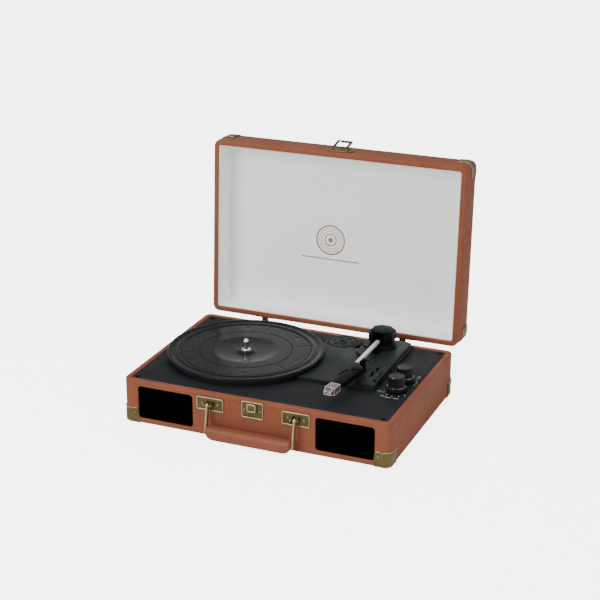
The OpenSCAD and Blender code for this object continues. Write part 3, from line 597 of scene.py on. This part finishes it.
class RP_OT_case(bpy.types.Operator):
    """Leathercloth over the base and lid, the lining and its emblem"""
    bl_idname = "rp.case"
    bl_label = "Case"

    def execute(self, context):
        given = context.scene.rp_case
        rounding = given.rim_round / MM
        tray = tray_profile(FOOT - 0.3, RIM + 0.05, 7.35, FOOT + 5.1, rounding)
        base = stand_in("base_wrap", "case_cloth", ringed(HALF_W, HALF_D, CORNER, tray, 3, 10, caps=True),
                        "leathercloth")
        for side in SIDES:
            cut(base, mouth_cutter(37.9, 21.6, 4.6, side * SPEAKER_X, FRONT))
        cut(base, mouth_cutter(37.6, 9.6, 2, 0, HALF_D))
        round_edges(base, given.opening_round / MM, 3, 60)
        flipped = tray_profile(-LID_HIGH - 0.05, -LID_LOW + 0.05, 7.3, -LID_HIGH + LID_BOARD, rounding)
        lid = ringed(HALF_W, HALF_D, CORNER, flipped * [1, -1], 3, 10, caps=True)
        stand_in("lid_wrap", "lid_cloth", lid, "leathercloth", opened)
        outer, inner = -7.35, -8.25
        board, face, mouth = LID_HIGH - LID_BOARD - 0.6, LID_HIGH - LID_BOARD - 1.0, LID_LOW + 1.1
        lining = fillet([(-40, board), (outer, board), (outer, mouth), (inner, mouth), (inner, face),
                         (-40, face)], [0, 0.3, 0.2, 0.4, 1.6, 0], 5)
        stand_in("lid_lining", "lid_lining_finished", ringed(HALF_W, HALF_D, CORNER, lining, 3, 8, caps=True),
                 "lining", opened)
        out, back, low, high = outer - 0.1, inner - 0.1, mouth - 0.6, mouth + 0.6
        edge = fillet([(out, low), (back, low), (back, high), (out, high), (out, low)], 0.15, 2)
        piece("lining_edge", ringed(HALF_W, HALF_D, CORNER, edge, 3, 8, close_rows=True), "lid",
              "lining edge", opened)
        self.seam(given.seam_y / MM)
        self.emblem(given.emblem_r / MM)
        refinished("raw board", "base_carcass", "lid_carcass")
        return {"FINISHED"}

    def seam(self, y):
        """The lap of the cloth on each side: a band that rises from nothing to 0.3 mm and ends in a round
        edge, with a dark groove behind it. Each is drawn as (y, how far it stands off the case)."""
        lap = [(y - 9, 0.0), (y - 4, 0.16), (y - 1, 0.3), (y - 0.3, 0.3), (y - 0.05, 0.2), (y, 0.0),
               (y, -0.3), (y - 9, -0.3)]
        groove = [(y - 0.1, 0.12), (y + 0.6, 0.12), (y + 0.7, -0.2), (y - 0.1, -0.2)]
        z = np.array([FOOT + 2, RIM - 2.6])[:, None]
        for side, side_name in ((1, "right"), (-1, "left")):
            for name, outline, finish in (("seam_", lap, "leathercloth"),
                                          ("seam_shadow_", groove, "seam shadow")):
                along, off = np.array(outline).T[:, None]
                grid = np.stack(np.broadcast_arrays(side * (HALF_W + off), along, z), -1)
                piece(name + side_name, grid_shape(grid, close_columns=True, caps=True), "base",
                      finish)

    def emblem(self, radius):
        """Plain foil emblem: a disc, two rings round it and a thin bar below, pressed 0.1 mm thick."""
        z, at = LID_HIGH - LID_BOARD - 1, (-19, 9)
        bands = [(0.0, 0.16), (0.34, 0.42), (0.56, 0.60), (0.74, 0.78), (0.90, 1.0)]
        shapes = [turned([(a * radius + 1e-4, z + 0.1), (a * radius + 1e-4, z - 0.1), (b * radius, z - 0.1),
                          (b * radius, z + 0.1)], 72, at) for a, b in bands]
        bar = ringed(42, 0.7, 0.5, [(0, z + 0.1), (0, z - 0.1)], 0.1, 3, caps=True)
        shapes.append(moved(bar, lambda p: p + [at[0], at[1] + radius + 6, 0]))
        piece("lid_emblem", joined(*shapes), "lid", "emblem foil", opened)


# ---------------------------------------------------------------- brass

def guard_shape(sx, sy, reach, relief, low, up):
    """A corner guard pressed over the case's corner. Rows run from under the case round its lower edge and up
    the wall; columns run along the front face, round the upright corner and along the side face. The shape
    stands 0.9 mm off the case and carries a pressed pattern of ridges."""
    off, edge = 0.9, 2.2
    bend = off + edge
    arc, round_edge = CORNER * math.pi / 2, bend * math.pi / 2
    s = np.linspace(CORNER - reach, arc + reach - CORNER, 61)
    t = np.linspace(0, 1, 45)[:, None]
    middle = np.abs(2 * (s - arc / 2) / (s[-1] - s[0]))[None, :]
    tip = 6.5 * np.clip((middle - 0.86) / 0.14, 0, 1) ** 2.2
    waist = 1.5 * np.exp(-((middle - 0.45) / 0.1) ** 2)
    top, under = 18.5 - tip - waist, 11.0 - 4.0 * np.clip((middle - 0.8) / 0.2, 0, 1) ** 2
    run = -under + t * (under + round_edge + top)
    a = np.clip(run / bend, 0, math.pi / 2)
    out = off - bend * (1 - np.sin(a)) - np.maximum(-run, 0)
    height = bend * (1 - np.cos(a)) - off + np.maximum(run - round_edge, 0)
    wave = np.tanh(2.5 * np.cos(middle * 9.5 * math.pi / 3) * np.cos((run - 9) / 4.2))
    border = np.minimum(np.minimum(run + under, top + round_edge - run) / 1.6, 1)
    border = np.minimum(border, (1 - middle) * 16)
    pressed = relief * (wave * np.clip(border - 0.4, 0, 1) + 1.4 * (border < 0.7) * (border > 0.15))
    out, height = out + pressed * np.sin(a), height - pressed * np.cos(a)
    theta = np.clip(s / CORNER, 0, math.pi / 2)[None, :]
    radius = np.maximum(CORNER + out, 0.4)
    inset = CORNER + out - radius
    x = HALF_W - CORNER + inset + radius * np.sin(theta) + np.minimum(s, 0)[None, :]
    y = HALF_D - CORNER + inset + radius * np.cos(theta) - np.maximum(s - arc, 0)[None, :]
    return grid_shape(np.stack([sx * x, sy * y, low + height * up], -1))


def dome(r, h, at, facing, cross=True, steps=28):
    """A round screw or nail head: height = h (1 - (r/R)^2)^0.6, with a shallow cross cut into it if asked.
    It faces along the given unit vector."""
    radius = np.concatenate([[1e-4], np.linspace(0.15, 1, 9)])[:, None] * r
    angle = np.linspace(0, 2 * math.pi, steps, endpoint=False)[None, :]
    height = h * np.clip(1 - (radius / r) ** 2, 0, 1) ** 0.6 + 0 * angle
    x, y = radius * np.cos(angle), radius * np.sin(angle)
    if cross:
        arm = 0.16 * r
        in_cross = ((np.abs(x) < arm) | (np.abs(y) < arm)) & (radius < 0.62 * r)
        height = height - 0.35 * h * in_cross
    grid = np.stack([x, y, height], -1)
    skirt = grid[-1:] * [1, 1, 0] - [0, 0, 0.6]
    points, faces = grid_shape(np.concatenate([grid, skirt]), close_columns=True)
    turn = Vector((0, 0, 1)).rotation_difference(Vector(facing)).to_matrix()
    return points @ np.array(turn).T + at, faces


def ridge_shape(w, h, r, height):
    """A rounded ridge round a plate's edge: half an ellipse 1.5 mm wide carried round the outline."""
    a = np.linspace(0, math.pi, 9)
    rows = np.column_stack([-0.75 + 0.75 * np.cos(a), height * np.sin(a)])
    rows = np.concatenate([rows, [(-1.5, -0.3), (0, -0.3)]])
    return ringed(w / 2, h / 2, r, rows, 0.3, 5, close_rows=True)


class RP_OT_brass(bpy.types.Operator):
    """Handle brackets, catch, hasp, hinges, corner guards, screws and nails"""
    bl_idname = "rp.brass"
    bl_label = "Brass fittings"

    def execute(self, context):
        given = context.scene.rp_brass
        ridge = given.ridge / MM
        for name in ("handle_brackets", "catch_plate", "base_hinge_leaves", "lid_hinge_leaves", "hasp_plate",
                     "hasp"):
            softened(name, "antique brass", 0.28)
        softened("handle_frame", "bright brass", 0.28)
        face = FRONT - PLATE
        plates = [stood_up(ridge_shape(36.5, 17.5, 2, ridge), side * BRACKET_X, BRACKET_Z, face)
                  for side in SIDES]
        plates.append(stood_up(ridge_shape(29, 22, 2, ridge), 0, FOOT + 44.8, face))
        plates.append(stood_up(ridge_shape(12, 10.5, 1.5, ridge * 0.7), 0, RIM - 8.75, FRONT - 5))
        piece("plate_ridges", joined(*plates), "base", "bright brass")
        piece("hasp_plate_ridge", stood_up(ridge_shape(34, 16, 2, ridge), 0, RIM + 14, face), "lid",
              "bright brass", opened)
        self.fasteners()
        reach, relief = given.guard_reach / MM, given.guard_relief / MM
        for body, low, up, put, node_name in (("base", FOOT - 0.3, 1, as_drawn, "base_corner_guards"),
                                              ("lid", LID_HIGH + 0.05, -1, opened, "lid_corner_guards")):
            shapes = [guard_shape(sx, sy, reach, relief, low, up) for sx in SIDES for sy in SIDES]
            obj = linked(body + "_guards", mesh_of(body + "_guards", joined(*shapes), put, 50))
            mod = obj.modifiers.new("Sheet", "SOLIDIFY")
            mod.thickness, mod.offset = 0.8 * MM, -1
            settle(obj)
            place(obj, body, material_of("pressed brass"), [node_name])
        return {"FINISHED"}

    def fasteners(self):
        """Domed screws on the front and rear, nails in the corner guards, and the pins' ends."""
        face, rear = FRONT - PLATE - 0.05, HALF_D + PLATE + 0.05
        front = [(side * BRACKET_X + x, BRACKET_Z) for side in SIDES for x in (-10.3, 10.3)]
        front += [(x, FOOT + 43.8) for x in (-10.5, 10.5)]
        leaves = [side * HINGE_X + x for side in SIDES for x in (-10, 10)]
        on_front = [dome(2.35, 1.15, (x, face, z), (0, -1, 0)) for x, z in front]
        behind = [(x, HINGE_Z - 13, rear) for x in leaves]
        behind += [(x, FOOT + 28, rear + 0.3) for x in (-41, 41)]
        on_rear = [dome(2.3, 1.1, (x, y, z), (0, 1, 0)) for x, z, y in behind]
        on_lid = [dome(2.2, 1.1, (x, face, RIM + 16.5), (0, -1, 0)) for x in (-12.5, 12.5)]
        on_lid += [dome(2.3, 1.1, (x, rear, RIM + 16), (0, 1, 0)) for x in leaves]
        for node_name, name, heads, put in (
                ("front_screws", "front_screw_heads", on_front, as_drawn),
                ("rear_screws", "rear_screw_heads", on_rear, as_drawn),
                ("lid_fasteners", "lid_screw_heads", on_lid + self.nails(LID_HIGH - NAIL_Z), opened),
                ("base_corner_nails", "base_nail_heads", self.nails(FOOT + NAIL_Z), as_drawn)):
            stand_in(node_name, name, joined(*heads), "brass fastener", put)
        refinished("brass fastener", "handle_pins", "hinge_pins")

    def nails(self, z):
        """Two round nails in each corner guard, one on each of its faces."""
        proud = 0.9
        return [dome(1.9, 1.2, at, facing, False) for sx in SIDES for sy in SIDES for at, facing in (
                ((sx * (HALF_W - NAIL_IN), sy * (HALF_D + proud), z), (0, sy, 0)),
                ((sx * (HALF_W + proud), sy * (HALF_D - NAIL_IN), z), (sx, 0, 0)))]


# ---------------------------------------------------------------- handle and speakers

class RP_OT_handle(bpy.types.Operator):
    """The moulded grip of the handle"""
    bl_idname = "rp.handle"
    bl_label = "Handle grip"

    def execute(self, context):
        low, high = box_of("handle_grip")
        middle = (low + high) / 2
        half = (high - low)[0] / 2
        u = np.sin(np.linspace(-math.pi / 2, math.pi / 2, 65)) * half
        gap = half - np.abs(u)
        lift, drop = self.fall(gap, 11), self.fall(gap, 3)
        angle = np.linspace(0, 2 * math.pi, 56, endpoint=False)[None, :]
        shape_y = np.sign(np.cos(angle)) * np.abs(np.cos(angle)) ** 0.62
        shape_z = np.sign(np.sin(angle)) * np.abs(np.sin(angle)) ** 0.72
        thick = 8.6
        top, bottom = thick - drop[:, None], -thick + lift[:, None]
        depth = thick - drop[:, None] * 0.9 - lift[:, None] * 0.12
        y = middle[1] + depth * shape_y
        z = middle[2] + (top + bottom) / 2 + (top - bottom) / 2 * shape_z
        stand_in("handle_grip", "handle_grip_finished", along_x(np.stack([y, z], -1), u), "grip leathercloth")
        return {"FINISHED"}

    def fall(self, gap, radius):
        """How far the surface has dropped at a distance from the grip's end: radius less the height of a
        quarter circle of that radius, and nothing beyond it."""
        curve = radius - np.sqrt(np.clip(radius ** 2 - (radius - gap) ** 2, 0, None))
        return np.where(gap < radius, curve, 0)


class RP_OT_speakers(bpy.types.Operator):
    """Grilles, cones and baskets"""
    bl_idname = "rp.speakers"
    bl_label = "Speakers"

    def execute(self, context):
        refinished("grille mesh", "grille_left", "grille_right")
        refinished("cone paper", "speaker_cones")
        refinished("plated steel", "speaker_left", "speaker_right")
        return {"FINISHED"}


# ---------------------------------------------------------------- deck

class RP_OT_deck(bpy.types.Operator):
    """Deck plate, its screws and markings, the mechanism's cover, adapter and feet"""
    bl_idname = "rp.deck"
    bl_label = "Deck"

    def execute(self, context):
        softened("deck_plate", "deck black", 0.3)
        softened("mech_chassis", "mechanism black", 0.8, 3)
        softened("adapter_45", "mechanism black", 0.25)
        refinished("rubber", "feet", "drive_belt")
        refinished("plated steel", "motor", "function_switch", "volume_pot")
        refinished("circuit board", "amp_board")
        heads = [dome(2.9, 1.3, (sx * 163.5, sy * 108, DECK_TOP), (0, 0, 1)) for sx in SIDES for sy in SIDES]
        stand_in("deck_screws", "deck_screw_heads", joined(*heads), "arm black")
        self.markings()
        return {"FINISHED"}

    def markings(self):
        """Printed ticks round the knobs: short bars that stand 0.05 mm off the deck."""
        shapes = []
        for name, angles, (near, far) in (("function", (-150, -120, -90, -60, -30), (14.5, 17.0)),
                                          ("volume", (-20, 0, 20, 40, 60), (14.5, 16.5))):
            for k, degrees in enumerate(angles):
                a = math.radians(degrees)
                turn = np.array([[math.cos(a), -math.sin(a), 0], [math.sin(a), math.cos(a), 0], [0, 0, 1]])
                shapes.append(moved(self.tick(far - near, 0.28 + 0.05 * k, 0.12),
                                    lambda p: (p + [(near + far) / 2, 0, 0]) @ turn.T + [*KNOBS[name], 0]))
        for x, y, w in ((131, -33, 6), (139, -45, 5), (147, -47, 8), (157, -47, 7), (163, 22, 4),
                        (163, 27, 3)):
            shapes.append(moved(self.tick(w, 0.45, 0.2), lambda p: p + [x, y, 0]))
        piece("deck_markings", joined(*shapes), "base", "marking white")

    def tick(self, long, half_wide, corner):
        """One printed bar along X at the origin."""
        profile = [(0, DECK_TOP - 0.1), (0, DECK_TOP + 0.05)]
        return ringed(long / 2, half_wide, corner, profile, 0.05, 2, caps=True)


class RP_OT_platter(bpy.types.Operator):
    """Platter with its rolled rim, ridge, grooves and dish, and the spindle"""
    bl_idname = "rp.platter"
    bl_label = "Platter and spindle"

    def execute(self, context):
        top = PLATTER_TOP
        path = [(3.7, top - 17), (3.7, top - 1.9), (9.5, top - 1.9), (11.5, top - 4.4), (18, top - 4.6),
                (30, top - 3.7), (38, top - 2.3), (42.5, top - 1.5), (59.4, top - 1.5), (59.8, top - 2.3),
                (60.6, top - 2.3), (61.0, top - 1.5), (83.2, top - 1.5), (83.8, top - 2.2), (84.8, top - 2.2),
                (85.4, top - 1.2), (87.0, top - 0.5), (89.0, top - 0.6), (91.5, top - 1.8), (95.0, top - 1.5),
                (97.6, top + 0.05), (100.6, top + 0.05), (101.5, top - 1.4), (101.5, top - 5.5),
                (98.5, top - 5.6), (97.5, top - 4.4), (54, top - 4.4), (52, top - 5), (52, RIM - 11),
                (50, RIM - 11), (50, top - 5), (10, top - 5.5), (10, top - 17), (3.7, top - 17)]
        radii = [0.2] * len(path)
        for k, r in ((3, 1.5), (4, 4), (5, 6), (6, 4), (7, 2.5), (16, 1.2), (17, 1.4), (18, 1.8), (19, 1.6),
                     (20, 1.4), (21, 1.3), (22, 1.0), (23, 0.7)):
            radii[k] = r
        profile = fillet(path, radii, 5)
        long = np.linalg.norm(np.diff(profile, axis=0), axis=1)
        fine = [profile[:1]]
        for a, b, d in zip(profile, profile[1:], long):
            count = max(1, int(d / 1.6)) if a[1] > top - 4.2 else 1
            fine.append(a + (b - a) * (np.arange(1, count + 1) / count)[:, None])
        stand_in("platter", "platter_finished", turned(np.concatenate(fine), 288, SPINDLE, self.marks),
                 "platter black", degrees=50)
        refinished("turned brass", "platter_bush", "motor_pulley")
        z0, z1 = (corner[2] for corner in box_of("spindle"))
        rod = fillet([(0.001, z0), (3.5, z0), (3.5, top - 1.8), (6, top - 1.8), (6, top - 0.9),
                      (3.5, top - 0.7), (3.5, z1 - 2.4), (0.001, z1)], [0, 0.2, 0.2, 0.4, 0.5, 0.4, 2.4, 0], 6)
        stand_in("spindle", "spindle_finished", turned(rod, 48, SPINDLE), "chrome")
        return {"FINISHED"}

    def marks(self, radius, height, angle):
        """Radial lines across the flat band, and small oval hollows between them."""
        flat = (height > RIM + 7.5) & (radius > 61.2) & (radius < 83)
        beside_line, beside_oval = (np.radians((np.degrees(angle) + shift) % 60 - 30) * radius
                                    for shift in (0, 38))
        line = np.exp(-(beside_line / 0.55) ** 2)
        oval = np.exp(-((beside_oval / 3.6) ** 4 + ((radius - 76) / 1.5) ** 4))
        dip = np.where(flat, -0.55 * line * (radius > 66) * (radius < 82) - 0.7 * oval, 0)
        return 0 * radius, dip


class RP_OT_knobs(bpy.types.Operator):
    """The two knobs with their chrome rings and pointers"""
    bl_idname = "rp.knobs"
    bl_label = "Knobs"

    def execute(self, context):
        low = RIM + 0.6
        path = [(0.001, low - 8), (3, low - 8), (3, low), (12.4, low), (12.4, low + 4.9), (11.0, low + 5.5),
                (10.4, low + 5.6), (10.35, low + 18.4), (9.9, low + 19.0), (8.6, low + 19.0),
                (8.3, low + 18.7), (0.001, low + 18.7)]
        body = fillet(path, [0, 0.2, 0.2, 0.3, 0.7, 0.3, 0.2, 0.5, 0.3, 0.15, 0.2, 0], 4)
        ring = fillet([(10.5, low + 5.2), (11.3, low + 5.2), (11.3, low + 6.3), (10.5, low + 6.3),
                       (10.5, low + 5.2)], 0.2, 3)
        for name, turned_by in (("function", -100), ("volume", -120)):
            at = KNOBS[name]
            stand_in(name + "_knob", name + "_knob_finished", turned(body, 216, at, self.flutes),
                     "knob black", degrees=40)
            piece(name + "_knob_top", turned([(0.001, low + 18.5), (8.25, low + 18.5), (8.25, low + 18.78),
                  (0.001, low + 18.78)], 64, at), name, "knob top")
            piece(name + "_knob_ring", turned(ring, 72, at), name, "knob chrome")
            a = math.radians(turned_by)
            spot = (at[0] + 9.0 * math.cos(a), at[1] + 9.0 * math.sin(a), low + 18.9)
            piece(name + "_knob_pointer", dome(0.75, 0.35, spot, (0, 0, 1), False), name,
                  "marking white")
        return {"FINISHED"}

    def flutes(self, radius, height, angle):
        """Fine upright flutes round the knob's side: the radius falls and rises 36 times a turn."""
        side = (radius > 10.0) & (radius < 10.42) & (height > RIM + 7) & (height < RIM + 18.9)
        return np.where(side, -0.22 * np.abs(np.sin(18 * angle)), 0), 0 * radius


# ---------------------------------------------------------------- tonearm

HEAD_AT, HEAD_TURN = np.array([98.5, -22.0]), math.radians(-8)


def at_head(points):
    """Moves points drawn on the headshell's own axes to its place and turns them."""
    c, s = math.cos(HEAD_TURN), math.sin(HEAD_TURN)
    x, y = points[..., 0], points[..., 1]
    return np.stack([HEAD_AT[0] + c * x - s * y, HEAD_AT[1] + s * x + c * y, PIVOT[2] + points[..., 2]], -1)


def stations(rows):
    """Rounded-rectangle sections along -Y from rows of (y, half width, low, high, corner), with flat ends."""
    grid = []
    for y, half, low, high, corner in rows:
        tall, middle = (high - low) / 2, (low + high) / 2
        outline = loop(half, tall, min(corner, half - 0.01, tall - 0.01), 4)
        grid.append(np.column_stack([outline[:, 0], np.full(len(outline), y), outline[:, 1] + middle]))
    return grid_shape(np.stack(grid), close_columns=True, caps=True)


def edge_bar(start, end, half=0.2):
    """A square bar along start + t (end - start), with sides of twice half and flat ends."""
    start, end = np.asarray(start, float), np.asarray(end, float)
    along = (end - start) / np.linalg.norm(end - start)
    side = np.cross(along, (0, 0, 1) if abs(along[2]) < 0.9 else (0, 1, 0))
    side *= half / np.linalg.norm(side)
    up = np.cross(side, along)
    ring = [side + up, up - side, -side - up, side - up]
    return grid_shape(np.array([[p + q for q in ring] for p in (start, end)]), close_columns=True, caps=True)


class RP_OT_tonearm(bpy.types.Operator):
    """Tonearm, its column, rest, levers and cartridge"""
    bl_idname = "rp.tonearm"
    bl_label = "Tonearm"

    def execute(self, context):
        softened("tonearm_base", "mechanism black", 0.5)
        softened("tonearm_column", "arm black", 0.4)
        softened("gimbal_hood", "arm black", 0.7, 3)
        for name in ("arm_block", "cue_lifter", "arm_rest", "arm_clip", "cue_lever", "speed_switch",
                     "autostop_switch"):
            softened(name, "arm black", 0.22)
        softened("headshell", "arm black", 0.5)
        self.tube()
        self.cartridge()
        return {"FINISHED"}

    def tube(self):
        """The arm: a flat oblong section with a shallow groove along its top, carried along Y."""
        outline = loop(2.5, 2.2, 1.0, 5)
        groove = np.array([(0.55, 2.2), (0.4, 1.9), (-0.4, 1.9), (-0.55, 2.2)])
        k = len(outline) // 4
        section = np.concatenate([outline[:k], groove, outline[k:]])
        low, high = box_of("arm_tube")
        y = np.linspace(low[1], high[1], 12)
        grid = np.stack([np.column_stack([PIVOT[0] + section[:, 0], np.full(len(section), v),
                                          PIVOT[2] + section[:, 1]]) for v in y])
        stand_in("arm_tube", "arm_tube_finished", grid_shape(grid, close_columns=True, caps=True), "arm silver")

    def cartridge(self):
        """Clear faceted cartridge body round a red core, with the stylus below, and pale bars along the shell's
        edges that are painted highlights of light caught on the clear plastic.
        """
        shell = stations([(-56, 6.2, -6.8, 2.0, 0.5), (-70.5, 6.3, -7.2, 2.2, 0.5),
                          (-76.5, 4.6, -5.4, -1.2, 0.5)])
        stand_in("cartridge", "cartridge_shell", moved(shell, at_head), "clear shell", degrees=20)
        sections = ((-56, 6.1, -6.7, 1.9), (-70.5, 6.2, -7.1, 2.1), (-76.5, 4.5, -5.3, -1.3))
        corners = [[(x, y, z) for x, z in ((-half, low), (half, low), (half, high), (-half, high))]
                   for y, half, low, high in sections]
        # pale square bars along every edge of the shell: painted highlights where light would catch the clear
        # edges
        highlight_bars = [edge_bar(ring[i], ring[(i + 1) % 4]) for ring in corners for i in range(4)]
        highlight_bars += [edge_bar(near[i], far[i]) for near, far in zip(corners, corners[1:]) for i in range(4)]
        piece("cartridge_painted_highlights", moved(joined(*highlight_bars), at_head), "tonearm", "painted edge highlight")
        core = stations([(-28, 4.6, -6.4, -3.3, 0.5), (-57, 4.8, -6.2, -1.0, 0.8), (-66, 4.4, -5.6, 0.6, 0.8),
                         (-71, 3.2, -5.0, -1.5, 0.6)])
        piece("cartridge_core", moved(core, at_head), "tonearm", "cartridge core", degrees=30)
        refinished("stylus red", "stylus")


class RP_OT_rear(bpy.types.Operator):
    """Rear panel and its jacks"""
    bl_idname = "rp.rear"
    bl_label = "Rear panel"

    def execute(self, context):
        softened("jack_panel", "mechanism black", 0.3)
        refinished("jack plastic", "dc_jack", "phones_jack")
        refinished("chrome", "rca_jacks")
        return {"FINISHED"}


# ---------------------------------------------------------------- stage

def softbox(name, at, aim, size, watts):
    """A square area light at a place, facing a point."""
    light = bpy.data.lights.new(name, "AREA")
    light.shape, light.size, light.energy = "SQUARE", size, watts
    obj = linked(name, light)
    obj.location = at
    obj.rotation_euler = (Vector(aim) - Vector(at)).to_track_quat("-Z", "Y").to_euler()


class RP_OT_stage(bpy.types.Operator):
    """Pale floor, soft lights and camera"""
    bl_idname = "rp.stage"
    bl_label = "Stage"

    def execute(self, context):
        given = context.scene.rp_stage
        mesh = bpy.data.meshes.new("floor")
        mesh.from_pydata([(-9, -9, 0), (9, -9, 0), (9, 9, 0), (-9, 9, 0)], [], [(0, 1, 2, 3)])
        floor = linked("floor", mesh)
        paint = bpy.data.materials.new("floor paper")
        paint.use_nodes = True
        tree = paint.node_tree
        cloud = node(tree, "ShaderNodeTexNoise", {"Scale": 1.3, "Detail": 2.0})
        shade = mixed(tree, cloud.outputs["Fac"], (0.90, 0.90, 0.90), (0.92, 0.92, 0.92))
        shader = tree.nodes["Principled BSDF"]
        tree.links.new(shade, shader.inputs["Base Color"])
        shader.inputs["Roughness"].default_value = 0.9
        shader.inputs["Specular IOR Level"].default_value = 0.1
        tree.links.new(shade, shader.inputs["Emission Color"])
        seen = node(tree, "ShaderNodeLightPath").outputs["Is Camera Ray"]
        tree.links.new(math_node(tree, "MULTIPLY", seen, given.floor_glow), shader.inputs["Emission Strength"])
        mesh.materials.append(paint)
        world = bpy.data.worlds.new("white room")
        bpy.context.scene.world = world
        world.use_nodes = True
        background = world.node_tree.nodes["Background"]
        background.inputs["Color"].default_value = (1, 1, 1, 1)
        seen = node(world.node_tree, "ShaderNodeLightPath").outputs["Is Camera Ray"]
        glow = math_node(world.node_tree, "MULTIPLY", seen, given.floor_glow)
        world.node_tree.links.new(math_node(world.node_tree, "ADD", glow, given.ambient),
                                  background.inputs["Strength"])
        target = Vector(given.target)
        softbox("key", (-1.0, -2.4, 1.35), target, 1.4, given.key_power)
        softbox("top", (-0.3, -0.5, 2.3), target, 1.6, given.key_power * 0.4)
        softbox("side", (2.3, -0.9, 1.0), target, 1.2, given.key_power * 0.3)
        camera = linked("camera", bpy.data.cameras.new("camera"))
        camera.data.lens, camera.data.sensor_width = given.lens, 36
        turn, height = given.turn, given.height
        level = math.cos(height)
        back = Vector((math.sin(turn) * level, -math.cos(turn) * level, math.sin(height)))
        camera.location = target + back * given.distance
        camera.rotation_euler = (-back).to_track_quat("-Z", "Y").to_euler()
        bpy.context.scene.camera = camera
        return {"FINISHED"}


OPERATORS = (RP_OT_stage, RP_OT_case, RP_OT_brass, RP_OT_handle, RP_OT_speakers, RP_OT_deck, RP_OT_platter,
             RP_OT_knobs, RP_OT_tonearm, RP_OT_rear)


class RP_PT_panel(bpy.types.Panel):
    """Lists the pieces and the settings"""
    bl_label = "Record player"
    bl_idname = "RP_PT_panel"
    bl_space_type = "VIEW_3D"
    bl_region_type = "UI"
    bl_category = "Record player"

    def draw(self, context):
        for operator in OPERATORS:
            self.layout.operator(operator.bl_idname)
        for name, group in SETTINGS.items():
            box = self.layout.box()
            for prop in group.__annotations__:
                box.prop(getattr(context.scene, name), prop)


def register():
    """Adds the add-on's classes, and its settings on the scene."""
    for cls in (*SETTINGS.values(), *OPERATORS, RP_PT_panel):
        bpy.utils.register_class(cls)
    for name, group in SETTINGS.items():
        setattr(bpy.types.Scene, name, bpy.props.PointerProperty(type=group))


def unregister():
    """Takes the settings and classes away again."""
    for name in SETTINGS:
        delattr(bpy.types.Scene, name)
    for cls in (RP_PT_panel, *OPERATORS, *SETTINGS.values()):
        bpy.utils.unregister_class(cls)


def main():
    """Builds everything."""
    register()
    for operator in OPERATORS:
        group, name = operator.bl_idname.split(".")
        getattr(getattr(bpy.ops, group), name)()
    bpy.context.view_layer.update()


if __name__ == "__main__":
    main()
